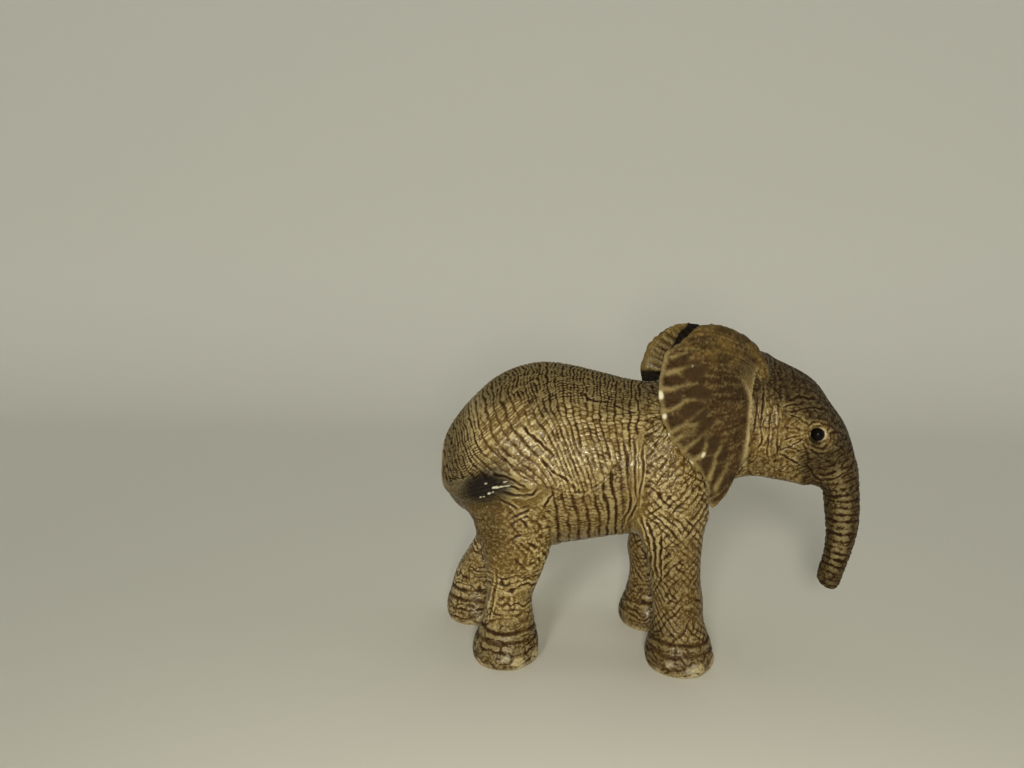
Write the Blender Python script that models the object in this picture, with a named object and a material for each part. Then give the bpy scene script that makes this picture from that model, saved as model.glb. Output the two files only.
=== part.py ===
"""Toy elephant calf, moulded in soft plastic: body with four legs, head with trunk, two ears,
a curled tail and two eye beads, each a separate moulding that plugs into the next.

Frame: +X is where the calf faces, +Y its left side, +Z up. The soles stand on z = 0 and the
origin lies under the middle of the figure's box.
"""

import math

import bmesh
import bpy
from mathutils import Matrix, Vector
from mathutils.bvhtree import BVHTree

MM = 0.001

# Fits between the mouldings
FIT_GAP = 0.3 * MM
CUT_OVERRUN = 2 * MM

# Skin: grain of the fused skin before it is thinned out to larger facets
SKIN_GRAIN = 0.8 * MM
SKIN_SMOOTH_TURNS = 8
SKIN_KEPT_SHARE = 0.115

# Torso, from the rump forwards
BACK_HEIGHT = 60 * MM
BELLY_HEIGHT = 22 * MM
TORSO_LENGTH = 56 * MM
TORSO_WIDTH = 33 * MM
TORSO_CENTRE_SHARE = 0.77
# along the torso, then top, widest level and bottom between belly and back, then half width
TORSO_SHARES = (
    (0.000, 0.49, 0.42, 0.34, 0.09),
    (0.016, 0.575, 0.42, 0.28, 0.20),
    (0.057, 0.70, 0.44, 0.20, 0.315),
    (0.13, 0.825, 0.45, 0.11, 0.405),
    (0.235, 0.935, 0.45, 0.02, 0.475),
    (0.38, 0.99, 0.42, -0.01, 0.50),
    (0.56, 0.955, 0.41, 0.03, 0.505),
    (0.72, 0.905, 0.42, 0.06, 0.475),
    (0.86, 0.895, 0.47, 0.11, 0.425),
    (1.00, 0.97, 0.58, 0.22, 0.36),
)

# Head, from inside the neck to the face
HEAD_LENGTH = 38 * MM
HEAD_HEIGHT = 28 * MM
HEAD_WIDTH = 23 * MM
JAW_HEIGHT = 35 * MM
HEAD_INSET = 10.5 * MM
# along the head, then top, widest level and bottom above the jaw, then half width
HEAD_SHARES = (
    (0.00, 0.77, 0.32, -0.18, 0.50),
    (0.17, 0.845, 0.37, -0.12, 0.52),
    (0.33, 0.95, 0.43, -0.01, 0.51),
    (0.46, 0.995, 0.45, 0.04, 0.50),
    (0.59, 0.94, 0.45, 0.05, 0.49),
    (0.72, 0.855, 0.43, 0.09, 0.455),
    (0.83, 0.725, 0.38, 0.11, 0.375),
    (0.92, 0.545, 0.31, 0.09, 0.26),
    (0.99, 0.39, 0.25, 0.14, 0.13),
)
JAW_SHARES = (
    (0.32, 0.26, 0.12, 0.06, 0.36),
    (0.50, 0.26, 0.12, 0.05, 0.34),
    (0.66, 0.22, 0.09, 0.035, 0.27),
    (0.765, 0.17, 0.07, 0.01, 0.20),
    (0.825, 0.12, 0.05, 0.00, 0.13),
    (0.865, 0.10, 0.05, 0.03, 0.06),
)

# Trunk, hanging from the face
TRUNK_DROP = 36 * MM
TRUNK_DEPTH = 7 * MM
TRUNK_WIDTH = 7 * MM
TRUNK_SWAY = 5 * MM
# down the trunk, forward sway, half depth, half width
TRUNK_SHARES = (
    (0.00, -0.08, 0.43, 0.86),
    (0.167, 0.36, 0.62, 0.84),
    (0.305, 0.69, 0.59, 0.70),
    (0.445, 1.01, 0.48, 0.555),
    (0.60, 1.11, 0.44, 0.465),
    (0.75, 1.09, 0.41, 0.42),
    (0.88, 0.90, 0.385, 0.385),
    (0.985, 0.75, 0.365, 0.36),
    (1.00, 0.72, 0.27, 0.27),
)
TRUNK_TOP_SHARE = 0.85

# Legs: each goes from its foot to a hip or shoulder inside the torso
FOOT_LENGTH = 13.4 * MM
FOOT_WIDTH = 12.8 * MM
SOLE_CUT = 0.8 * MM
HIND_BOW = 2 * MM
LEG_SPREAD = 10 * MM
HIP_HEIGHT = 50 * MM
# up the leg, lean from foot to hip, knee bow, half length, half width, inward at the top
LEG_TABLES_SHARES = {
    "fore": (
        (0.000, 0.00, 0.0, 0.45, 0.45, 0.00),
        (0.035, 0.00, 0.0, 0.49, 0.49, 0.00),
        (0.085, 0.00, 0.0, 0.505, 0.50, 0.00),
        (0.150, 0.10, 0.0, 0.435, 0.455, 0.00),
        (0.230, 0.20, 0.0, 0.37, 0.405, 0.00),
        (0.350, 0.35, 0.0, 0.365, 0.40, 0.00),
        (0.450, 0.50, 0.0, 0.39, 0.42, 0.00),
        (0.565, 0.70, 0.0, 0.49, 0.465, 0.00),
        (0.685, 0.90, 0.0, 0.62, 0.515, 0.05),
        (0.845, 1.00, 0.0, 0.69, 0.58, 0.15),
        (1.000, 1.00, 0.0, 0.56, 0.51, 0.35),
    ),
    "hind": (
        (0.000, 0.00, 0.0, 0.45, 0.45, 0.00),
        (0.035, 0.00, 0.0, 0.49, 0.49, 0.00),
        (0.085, 0.00, 0.0, 0.505, 0.50, 0.00),
        (0.165, 0.00, 0.1, 0.42, 0.43, 0.00),
        (0.265, 0.12, 0.3, 0.355, 0.39, 0.00),
        (0.350, 0.36, 0.8, 0.41, 0.40, 0.02),
        (0.470, 0.75, 1.0, 0.49, 0.44, 0.04),
        (0.570, 0.92, 0.8, 0.625, 0.495, 0.08),
        (0.690, 1.00, 0.4, 0.765, 0.56, 0.14),
        (0.845, 1.00, 0.0, 0.82, 0.61, 0.25),
        (1.000, 1.00, 0.0, 0.67, 0.54, 0.50),
    ),
}
# along the torso: where each foot stands and where its leg starts
LEGS_SHARES = {
    "right_fore": ("fore", -1, 0.890, 0.825),
    "left_fore": ("fore", 1, 0.815, 0.825),
    "right_hind": ("hind", -1, 0.264, 0.245),
    "left_hind": ("hind", 1, 0.110, 0.245),
}

# Toenails, swelling out of the front of each foot
TOENAIL_DIAMETER = 3.6 * MM
TOENAIL_LEVEL = 1.9 * MM
TOENAIL_PROUD_SHARE = 0.17
TOENAIL_ANGLES = tuple(math.radians(a) for a in (-66, -24, 18, 60))

# Neck joint: a slanted seam behind the ears, with an oval spigot on the head
SEAM_TILT = math.radians(15)
SEAM_SHARE = 0.945
SEAM_LEVEL_SHARE = 0.72
SPIGOT_LENGTH = 7 * MM
SPIGOT_HEIGHT = 13 * MM
SPIGOT_WIDTH = 9 * MM
SPIGOT_END_GAP = 0.6 * MM

# Ears
EAR_LENGTH = 20 * MM
EAR_HEIGHT = 33.5 * MM
EAR_FLARE = 7 * MM
EAR_THICKNESS = 1.6 * MM
EAR_SINK = 2 * MM
EAR_SHARE = 0.485
# how far each ear's tip hangs below the jaw
EAR_DROPS = {"right": 0.2 * MM, "left": 1.4 * MM}
# root, then rim, each as: back from the root's front, up from the tip, out from the head's side
EAR_SHARES = (
    ((0.03, 0.785, -0.80), (0.10, 0.865, -0.55)),
    ((0.06, 0.765, -0.62), (0.21, 0.935, -0.15)),
    ((0.10, 0.735, -0.45), (0.38, 0.985, 0.28)),
    ((0.13, 0.70, -0.30), (0.60, 1.00, 0.62)),
    ((0.16, 0.65, -0.18), (0.79, 0.955, 0.82)),
    ((0.175, 0.60, -0.12), (0.93, 0.865, 0.96)),
    ((0.18, 0.545, -0.08), (0.99, 0.75, 1.00)),
    ((0.18, 0.485, -0.05), (1.00, 0.635, 1.00)),
    ((0.175, 0.42, -0.03), (0.97, 0.515, 0.98)),
    ((0.175, 0.35, -0.01), (0.90, 0.405, 0.93)),
    ((0.195, 0.28, 0.02), (0.775, 0.305, 0.86)),
    ((0.225, 0.215, 0.08), (0.64, 0.22, 0.79)),
    ((0.28, 0.15, 0.20), (0.54, 0.14, 0.74)),
    ((0.34, 0.09, 0.36), (0.485, 0.065, 0.70)),
    ((0.40, 0.035, 0.52), (0.465, 0.01, 0.68)),
)
# how far out the ear is, between root and rim, along the way back
EAR_CUP_SHARE = 0.62
EAR_EDGE_SHARE = 0.5
EAR_COLUMNS = 7
EAR_ROW_STEPS = 2
EAR_PEG_LENGTH = 4 * MM
EAR_PEG_HEIGHT = 5 * MM
EAR_PEG_THICKNESS = 3 * MM
EAR_PEG_SHARE = 0.5

# Eyes
EYE_DIAMETER = 3 * MM
EYE_LEVEL_SHARE = 0.43
EYE_SHARE = 0.785
EYE_STAND = 0.55 * MM

# Mouth: a crease on each side, from the cheek to under the trunk
MOUTH_CREASE = 0.9 * MM
# along the head, up from the jaw
MOUTH_SHARES = ((0.60, 0.30), (0.68, 0.225), (0.735, 0.185), (0.785, 0.14), (0.83, 0.075))

# Tail: down the middle of the rump, under, and forwards on the right thigh
TAIL_DROP = 13 * MM
TAIL_TURN = 15 * MM
TAIL_THICKNESS = 2.2 * MM
TAIL_TOP_SHARE = 0.66
# forwards, right and up from the tail's top; then half thickness and how far proud of the skin
TAIL_SHARES = (
    (0.02, 0.00, 0.08, 0.46, -0.70),
    (-0.05, 0.06, -0.18, 0.52, -0.45),
    (-0.05, 0.14, -0.50, 0.50, -0.35),
    (-0.02, 0.24, -0.80, 0.48, -0.25),
    (0.06, 0.44, -0.98, 0.50, -0.20),
    (0.22, 0.68, -0.99, 0.58, -0.20),
    (0.42, 0.88, -0.92, 0.84, -0.25),
    (0.64, 1.00, -0.86, 1.04, -0.25),
    (0.88, 1.06, -0.83, 1.00, -0.30),
    (1.08, 1.10, -0.83, 0.68, -0.35),
    (1.18, 1.12, -0.83, 0.28, -0.50),
)
TAIL_PEG_LENGTH = 3 * MM
TAIL_PEG_THICKNESS = 2.2 * MM

RING_POINTS = 28
RING_STEPS = 4


def clear_scene():
    for obj in list(bpy.data.objects):
        bpy.data.objects.remove(obj)


def plastic(name, colour, roughness):
    material = bpy.data.materials.new(name)
    material.use_nodes = True
    shader = material.node_tree.nodes["Principled BSDF"]
    shader.inputs["Base Color"].default_value = (*colour, 1)
    shader.inputs["Roughness"].default_value = roughness
    return material


def add_object(name, mesh, material=None):
    obj = bpy.data.objects.new(name, mesh)
    bpy.context.scene.collection.objects.link(obj)
    if material:
        mesh.materials.clear()
        mesh.materials.append(material)
    return obj


def hide(obj):
    obj.hide_render = True
    obj.display_type = "WIRE"
    return obj


def evaluated_mesh(obj):
    """The mesh that the object's modifiers give, as a mesh of its own."""
    graph = bpy.context.evaluated_depsgraph_get()
    graph.update()
    return bpy.data.meshes.new_from_object(obj.evaluated_get(graph), depsgraph=graph)


def between(rows, steps):
    """Rows of numbers with smooth Catmull-Rom rows put between them."""
    made = []
    last = len(rows) - 1
    for i in range(last):
        before = rows[max(i - 1, 0)]
        start, end = rows[i], rows[i + 1]
        after = rows[min(i + 2, last)]
        for k in range(steps):
            t = k / steps
            made.append(
                tuple(
                    b + 0.5 * t * (c - a + t * (2 * a - 5 * b + 4 * c - d + t * (3 * (b - c) + d - a)))
                    for a, b, c, d in zip(before, start, end, after)
                )
            )
    made.append(rows[last])
    return made


def skin_of_rings(bm, rings):
    """Joins closed rings of points into one closed shell inside bm."""
    loops = [[bm.verts.new(p) for p in ring] for ring in rings]
    for lower, upper in zip(loops, loops[1:]):
        for k in range(len(lower)):
            n = (k + 1) % len(lower)
            bm.faces.new((lower[k], lower[n], upper[n], upper[k]))
    bm.faces.new(loops[0][::-1])
    bm.faces.new(loops[-1])


def oval(centre, across, upward, half_width, rise, fall):
    """A ring round centre: half_width along across, rise and fall along upward."""
    ring = []
    for k in range(RING_POINTS):
        angle = math.tau * k / RING_POINTS
        height = math.sin(angle)
        reach = rise if height > 0 else fall
        ring.append(centre + across * half_width * math.cos(angle) + upward * reach * height)
    return ring


def mesh_of(name, bm):
    bmesh.ops.recalc_face_normals(bm, faces=bm.faces)
    mesh = bpy.data.meshes.new(name)
    bm.to_mesh(mesh)
    bm.free()
    return mesh


ACROSS = Vector((0, 1, 0))
UP = Vector((0, 0, 1))
FORWARD = Vector((1, 0, 0))
RUMP_X = -TORSO_CENTRE_SHARE * TORSO_LENGTH
TORSO_DEPTH = BACK_HEIGHT - BELLY_HEIGHT
HEAD_X = RUMP_X + TORSO_LENGTH - HEAD_INSET


def torso_shell(bm):
    rings = []
    for along, top, widest, bottom, half in between(TORSO_SHARES, RING_STEPS):
        level = BELLY_HEIGHT + widest * TORSO_DEPTH
        centre = Vector((RUMP_X + along * TORSO_LENGTH, 0, level))
        rings.append(
            oval(
                centre,
                ACROSS,
                UP,
                half * TORSO_WIDTH,
                (top - widest) * TORSO_DEPTH,
                (widest - bottom) * TORSO_DEPTH,
            )
        )
    skin_of_rings(bm, rings)


def head_shell(bm, shares):
    rings = []
    for along, top, widest, bottom, half in between(shares, RING_STEPS):
        centre = Vector((HEAD_X + along * HEAD_LENGTH, 0, JAW_HEIGHT + widest * HEAD_HEIGHT))
        rings.append(
            oval(
                centre,
                ACROSS,
                UP,
                half * HEAD_WIDTH,
                (top - widest) * HEAD_HEIGHT,
                (widest - bottom) * HEAD_HEIGHT,
            )
        )
    skin_of_rings(bm, rings)


def trunk_line(down, sway):
    """A point of the trunk's middle line."""
    top = Vector((HEAD_X + TRUNK_TOP_SHARE * HEAD_LENGTH, 0, JAW_HEIGHT + HEAD_HEIGHT / 2))
    return top + FORWARD * sway * TRUNK_SWAY - UP * down * TRUNK_DROP


def trunk_shell(bm):
    rows = between(TRUNK_SHARES, RING_STEPS)
    rings = []
    for i, (down, sway, depth, half) in enumerate(rows):
        here = trunk_line(down, sway)
        ahead = trunk_line(*rows[min(i + 1, len(rows) - 1)][:2])
        behind = trunk_line(*rows[max(i - 1, 0)][:2])
        run = (ahead - behind).normalized()
        front = ACROSS.cross(run)
        rings.append(
            oval(here, ACROSS, front, half * TRUNK_WIDTH, depth * TRUNK_DEPTH, depth * TRUNK_DEPTH)
        )
    skin_of_rings(bm, rings)


def leg_shell(bm, kind, side, foot_share, hip_share):
    foot_x = RUMP_X + foot_share * TORSO_LENGTH
    hip_x = RUMP_X + hip_share * TORSO_LENGTH
    rings = []
    for up, lean, bow, length, width, inward in between(LEG_TABLES_SHARES[kind], RING_STEPS):
        centre = Vector(
            (
                foot_x + lean * (hip_x - foot_x) + bow * HIND_BOW,
                side * LEG_SPREAD * (1 - inward),
                up * (HIP_HEIGHT + SOLE_CUT) - SOLE_CUT,
            )
        )
        half_length = length * FOOT_LENGTH
        rings.append(oval(centre, ACROSS, FORWARD, width * FOOT_WIDTH, half_length, half_length))
    skin_of_rings(bm, rings)


def toenails(bm, side, foot_share):
    foot_x = RUMP_X + foot_share * TORSO_LENGTH
    sunk = TOENAIL_DIAMETER / 2 * (1 - 2 * TOENAIL_PROUD_SHARE)
    for angle in TOENAIL_ANGLES:
        centre = Vector(
            (
                foot_x + math.cos(angle) * (FOOT_LENGTH / 2 - sunk),
                side * (LEG_SPREAD + math.sin(angle) * (FOOT_WIDTH / 2 - sunk)),
                TOENAIL_LEVEL,
            )
        )
        made = bmesh.ops.create_icosphere(bm, subdivisions=2, radius=TOENAIL_DIAMETER / 2)
        bmesh.ops.translate(bm, vec=centre, verts=made["verts"])


def fused_skin():
    """Every swelling of the figure fused into one smooth closed skin."""
    bm = bmesh.new()
    torso_shell(bm)
    head_shell(bm, HEAD_SHARES)
    head_shell(bm, JAW_SHARES)
    trunk_shell(bm)
    for leg in LEGS_SHARES.values():
        leg_shell(bm, *leg)
        toenails(bm, leg[1], leg[2])
    rough = hide(add_object("rough_skin", mesh_of("rough_skin", bm)))
    fuse = rough.modifiers.new("fuse", "REMESH")
    fuse.mode = "VOXEL"
    fuse.voxel_size = SKIN_GRAIN
    smooth = rough.modifiers.new("smooth", "SMOOTH")
    smooth.factor = 0.5
    smooth.iterations = SKIN_SMOOTH_TURNS
    thin = rough.modifiers.new("thin", "DECIMATE")
    thin.ratio = SKIN_KEPT_SHARE
    return evaluated_mesh(rough)


def box_mesh(name, low, high):
    bm = bmesh.new()
    bmesh.ops.create_cube(bm, size=1)
    size = high - low
    bmesh.ops.transform(
        bm,
        matrix=Matrix.Translation((low + high) / 2) @ Matrix.Diagonal((*size, 1)),
        verts=bm.verts,
    )
    return mesh_of(name, bm)


def oval_bar(name, half_width, half_height, length, matrix):
    """An oval bar along local +X from its own origin, put in place by matrix."""
    bm = bmesh.new()
    rings = [
        oval(FORWARD * x, ACROSS, UP, half_width, half_height, half_height) for x in (0, length)
    ]
    skin_of_rings(bm, rings)
    mesh = mesh_of(name, bm)
    mesh.transform(matrix)
    return mesh


def boolean(obj, operation, other):
    step = obj.modifiers.new(f"{operation.lower()} {other.name}", "BOOLEAN")
    step.operation = operation
    step.solver = "EXACT"
    step.object = other


def seam_matrix():
    """The neck seam's own frame: its +X runs forwards through the neck, square to the seam."""
    middle = Vector(
        (RUMP_X + SEAM_SHARE * TORSO_LENGTH, 0, BELLY_HEIGHT + SEAM_LEVEL_SHARE * TORSO_DEPTH)
    )
    return Matrix.Translation(middle) @ Matrix.Rotation(-SEAM_TILT, 4, "Y")


def half_space(name, back, front):
    """A hidden block that covers the figure between two distances from the neck seam."""
    reach = BACK_HEIGHT + HEAD_HEIGHT
    block = add_object(
        name, box_mesh(name, Vector((back, -reach, -reach)), Vector((front, reach, reach)))
    )
    block.data.transform(seam_matrix())
    return hide(block)


def make_body(skin, material):
    body = add_object("body", skin.copy(), material)
    reach = TORSO_LENGTH + HEAD_LENGTH
    boolean(body, "DIFFERENCE", half_space("front_half", -FIT_GAP / 2, reach))
    bore = oval_bar(
        "neck_bore",
        SPIGOT_WIDTH / 2 + FIT_GAP,
        SPIGOT_HEIGHT / 2 + FIT_GAP,
        SPIGOT_LENGTH + SPIGOT_END_GAP + CUT_OVERRUN,
        seam_matrix() @ Matrix.Translation(-FORWARD * (SPIGOT_LENGTH + SPIGOT_END_GAP)),
    )
    boolean(body, "DIFFERENCE", hide(add_object("neck_bore", bore)))
    return body


def make_head(skin, material):
    head = add_object("head", skin.copy(), material)
    reach = TORSO_LENGTH + HEAD_LENGTH
    boolean(head, "DIFFERENCE", half_space("rear_half", -reach, FIT_GAP / 2))
    spigot = oval_bar(
        "neck_spigot",
        SPIGOT_WIDTH / 2,
        SPIGOT_HEIGHT / 2,
        SPIGOT_LENGTH + CUT_OVERRUN,
        seam_matrix() @ Matrix.Translation(-FORWARD * SPIGOT_LENGTH),
    )
    boolean(head, "UNION", hide(add_object("neck_spigot", spigot)))
    return head


def ear_rows(side):
    """Rows of points from the ear's root to its rim, on the ear's middle surface."""
    root_x = HEAD_X + EAR_SHARE * HEAD_LENGTH
    tip_z = JAW_HEIGHT - EAR_DROPS["right" if side < 0 else "left"]
    flat = [(*root, *rim) for root, rim in EAR_SHARES]
    rows = []
    for numbers in between(flat, EAR_ROW_STEPS):
        ends = []
        for back, up, out in (numbers[:3], numbers[3:]):
            ends.append(
                Vector(
                    (
                        root_x - back * EAR_LENGTH,
                        side * (HEAD_WIDTH / 2 + out * EAR_FLARE),
                        tip_z + up * EAR_HEIGHT,
                    )
                )
            )
        root, rim = ends
        row = []
        for k in range(EAR_COLUMNS):
            t = k / (EAR_COLUMNS - 1)
            cup = t + EAR_CUP_SHARE * t * (1 - t)
            point = root.lerp(rim, t)
            point.y = root.y + (rim.y - root.y) * cup
            row.append(point)
        inward = (row[0] - row[1]).normalized()
        row.insert(0, row[0] + inward * EAR_SINK)
        rows.append(row)
    return rows


def ear_plate(name, side, spare):
    """The cupped plate of an ear with rounded edges, spare thicker all round."""
    rows = ear_rows(side)
    last_row, last_column = len(rows) - 1, len(rows[0]) - 1
    normals = {}
    for i in range(last_row + 1):
        for k in range(last_column + 1):
            along = rows[min(i + 1, last_row)][k] - rows[max(i - 1, 0)][k]
            across = rows[i][min(k + 1, last_column)] - rows[i][max(k - 1, 0)]
            normals[i, k] = along.cross(across).normalized() * side
    bm = bmesh.new()
    sheets = []
    for face in (1, -1):
        sheet = {}
        for (i, k), normal in normals.items():
            edge = i in (0, last_row) or k in (0, last_column)
            half = EAR_THICKNESS / 2 * (EAR_EDGE_SHARE if edge else 1) + spare
            sheet[i, k] = bm.verts.new(rows[i][k] + normal * face * half)
        sheets.append(sheet)
    for sheet in sheets:
        for i in range(last_row):
            for k in range(last_column):
                corners = (sheet[i, k], sheet[i + 1, k], sheet[i + 1, k + 1], sheet[i, k + 1])
                bm.faces.new(corners)
    border = [(i, 0) for i in range(last_row)]
    border += [(last_row, k) for k in range(last_column)]
    border += [(i, last_column) for i in range(last_row, 0, -1)]
    border += [(0, k) for k in range(last_column, 0, -1)]
    front, back = sheets
    middle = [
        bm.verts.new(rows[i][k] + edge_way(rows, i, k) * (EAR_THICKNESS / 2 + spare))
        for i, k in border
    ]
    for n, here in enumerate(border):
        after = (n + 1) % len(border)
        there = border[after]
        bm.faces.new((front[here], front[there], middle[after], middle[n]))
        bm.faces.new((back[there], back[here], middle[n], middle[after]))
    return mesh_of(name, bm)


def edge_way(rows, i, k):
    """The direction out of the ear at a point of its border."""
    last_row, last_column = len(rows) - 1, len(rows[0]) - 1
    way = Vector()
    if k in (0, last_column):
        inner = 1 if k == 0 else last_column - 1
        way += (rows[i][k] - rows[i][inner]).normalized()
    if i in (0, last_row):
        inner = 1 if i == 0 else last_row - 1
        way += (rows[i][k] - rows[inner][k]).normalized()
    return way.normalized()


def ear_peg(name, side, spare, reach):
    """The round-ended peg that holds an ear in the head."""
    row = ear_rows(side)[round(EAR_PEG_SHARE * (len(EAR_SHARES) - 1) * EAR_ROW_STEPS)]
    inward = Matrix.Rotation(-side * math.pi / 2, 4, "Z")
    return oval_bar(
        name,
        EAR_PEG_THICKNESS / 2 + spare,
        EAR_PEG_HEIGHT / 2 + spare,
        EAR_PEG_LENGTH + EAR_SINK + reach,
        Matrix.Translation(row[1]) @ inward,
    )


def make_ear(name, side, head, material):
    """An ear with its peg, and the slot for both cut in the head."""
    ear = add_object(name, ear_plate(name, side, 0), material)
    peg = ear_peg(f"{name}_peg", side, 0, 0)
    boolean(ear, "UNION", hide(add_object(f"{name}_peg", peg)))
    slot = hide(add_object(f"{name}_slot", ear_plate(f"{name}_slot", side, FIT_GAP)))
    bore = ear_peg(f"{name}_bore", side, FIT_GAP, FIT_GAP)
    boolean(slot, "UNION", hide(add_object(f"{name}_bore", bore)))
    boolean(head, "DIFFERENCE", slot)
    return ear


def ball(name, centre, radius):
    bm = bmesh.new()
    bmesh.ops.create_uvsphere(bm, u_segments=20, v_segments=12, radius=radius)
    bmesh.ops.translate(bm, vec=centre, verts=bm.verts)
    return mesh_of(name, bm)


def make_eye(name, side, skin_tree, head, material):
    """An eye bead in its socket, where a line from the side meets the skin."""
    level = JAW_HEIGHT + EYE_LEVEL_SHARE * HEAD_HEIGHT
    start = Vector((HEAD_X + EYE_SHARE * HEAD_LENGTH, side * HEAD_WIDTH, level))
    point, normal, _, _ = skin_tree.ray_cast(start, -ACROSS * side)
    radius = EYE_DIAMETER / 2
    centre = point - normal * (radius - EYE_STAND)
    socket = ball(f"{name}_socket", centre, radius + FIT_GAP)
    boolean(head, "DIFFERENCE", hide(add_object(f"{name}_socket", socket)))
    return add_object(name, ball(name, centre, radius), material)


def mouth_crease(name, side, skin_tree):
    """A thin tube along one side of the mouth, for cutting its crease in the skin."""
    middles = []
    for along, up in between(MOUTH_SHARES, 2):
        start = Vector(
            (HEAD_X + along * HEAD_LENGTH, side * HEAD_WIDTH, JAW_HEIGHT + up * HEAD_HEIGHT)
        )
        middles.append(skin_tree.ray_cast(start, -ACROSS * side)[0])
    bm = bmesh.new()
    skin_of_rings(
        bm, [tail_oval(middle, ACROSS, UP, MOUTH_CREASE / 2) for middle in middles if middle]
    )
    return mesh_of(name, bm)


def tail_rings(skin_tree, spare):
    """Rings along the tail as it lies half sunk in the skin."""
    top = Vector((RUMP_X, 0, BELLY_HEIGHT + TAIL_TOP_SHARE * TORSO_DEPTH))
    middles = []
    for forward, right, up, half, proud in between(TAIL_SHARES, 2):
        near = top + Vector((forward * TAIL_TURN, -right * TAIL_TURN, up * TAIL_DROP))
        point, normal, _, _ = skin_tree.find_nearest(near)
        radius = half * TAIL_THICKNESS
        middles.append((point + normal * radius * proud, normal, radius + spare))
    rings = []
    for i, (middle, normal, radius) in enumerate(middles):
        ahead = middles[min(i + 1, len(middles) - 1)][0]
        behind = middles[max(i - 1, 0)][0]
        run = (ahead - behind).normalized()
        across = run.cross(normal).normalized()
        rings.append(tail_oval(middle, across, across.cross(run), radius))
    return rings


def tail_oval(middle, across, upward, radius):
    count = RING_POINTS // 2
    angles = [math.tau * k / count for k in range(count)]
    return [middle + (across * math.cos(a) + upward * math.sin(a)) * radius for a in angles]


def tail_mesh(name, skin_tree, spare):
    bm = bmesh.new()
    skin_of_rings(bm, tail_rings(skin_tree, spare))
    return mesh_of(name, bm)


def tail_peg(name, skin_tree, spare):
    """The peg under the tail's thick end, square to the rump."""
    rings = tail_rings(skin_tree, 0)
    middle = sum(rings[2], Vector()) / len(rings[2])
    point, normal, _, _ = skin_tree.find_nearest(middle)
    half = TAIL_PEG_THICKNESS / 2 + spare
    turn = FORWARD.rotation_difference(-normal).to_matrix().to_4x4()
    length = (middle - point).length + TAIL_PEG_LENGTH + spare
    return oval_bar(name, half, half, length, Matrix.Translation(middle) @ turn)


def make_tail(skin_tree, body, material):
    tail = add_object("tail", tail_mesh("tail", skin_tree, 0), material)
    peg = tail_peg("tail_peg", skin_tree, 0)
    boolean(tail, "UNION", hide(add_object("tail_peg", peg)))
    groove = tail_mesh("tail_groove", skin_tree, FIT_GAP)
    boolean(body, "DIFFERENCE", hide(add_object("tail_groove", groove)))
    bore = tail_peg("tail_bore", skin_tree, FIT_GAP)
    boolean(body, "DIFFERENCE", hide(add_object("tail_bore", bore)))
    return tail


def set_origin_under_middle():
    """Moves every object so that the origin lies under the middle of the figure's box."""
    graph = bpy.context.evaluated_depsgraph_get()
    graph.update()
    corners = []
    for obj in bpy.data.objects:
        if not obj.hide_render:
            shown = obj.evaluated_get(graph)
            corners += [obj.matrix_world @ Vector(corner) for corner in shown.bound_box]
    middle = Vector([(min(c) + max(c)) / 2 for c in zip(*corners)])
    middle.z = 0
    for obj in bpy.data.objects:
        obj.location -= middle


def main():
    clear_scene()
    skin_paint = plastic("painted_skin", (0.30, 0.21, 0.11), 0.5)
    ear_paint = plastic("painted_ear", (0.16, 0.10, 0.05), 0.5)
    tuft_paint = plastic("painted_tail", (0.10, 0.07, 0.045), 0.4)
    gloss = plastic("gloss_black", (0.01, 0.01, 0.01), 0.1)
    skin = fused_skin()
    body = make_body(skin, skin_paint)
    head = make_head(skin, skin_paint)
    skin_tree = BVHTree.FromPolygons(
        [v.co for v in skin.vertices], [tuple(p.vertices) for p in skin.polygons]
    )
    make_tail(skin_tree, body, tuft_paint)
    for name, side in (("right", -1), ("left", 1)):
        make_ear(f"ear_{name}", side, head, ear_paint)
        make_eye(f"eye_{name}", side, skin_tree, head, gloss)
        crease = mouth_crease(f"mouth_{name}", side, skin_tree)
        boolean(head, "DIFFERENCE", hide(add_object(f"mouth_{name}", crease)))
    floor = add_object(
        "floor_block",
        box_mesh(
            "floor_block",
            Vector((-BACK_HEIGHT * 2, -BACK_HEIGHT, -BACK_HEIGHT)),
            Vector((BACK_HEIGHT * 2, BACK_HEIGHT, 0)),
        ),
    )
    boolean(body, "DIFFERENCE", hide(floor))
    set_origin_under_middle()


main()
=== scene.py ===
import math

import bmesh
import bpy
import numpy as np
from mathutils import Matrix, Vector
from mathutils.bvhtree import BVHTree


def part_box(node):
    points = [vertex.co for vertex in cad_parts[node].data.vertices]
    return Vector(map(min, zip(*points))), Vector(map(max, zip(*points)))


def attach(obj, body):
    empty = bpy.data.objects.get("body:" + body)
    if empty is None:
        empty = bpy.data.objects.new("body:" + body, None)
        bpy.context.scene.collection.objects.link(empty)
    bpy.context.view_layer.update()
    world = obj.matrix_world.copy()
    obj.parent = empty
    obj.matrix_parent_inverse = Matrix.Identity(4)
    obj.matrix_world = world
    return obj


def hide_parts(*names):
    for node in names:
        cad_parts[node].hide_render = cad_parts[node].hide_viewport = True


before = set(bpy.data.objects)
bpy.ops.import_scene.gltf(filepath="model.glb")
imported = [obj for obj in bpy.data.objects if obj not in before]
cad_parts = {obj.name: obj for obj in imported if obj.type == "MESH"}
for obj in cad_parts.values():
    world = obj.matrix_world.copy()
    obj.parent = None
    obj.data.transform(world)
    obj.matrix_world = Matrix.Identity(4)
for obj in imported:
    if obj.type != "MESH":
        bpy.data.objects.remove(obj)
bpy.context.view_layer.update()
MM = 0.001

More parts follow.
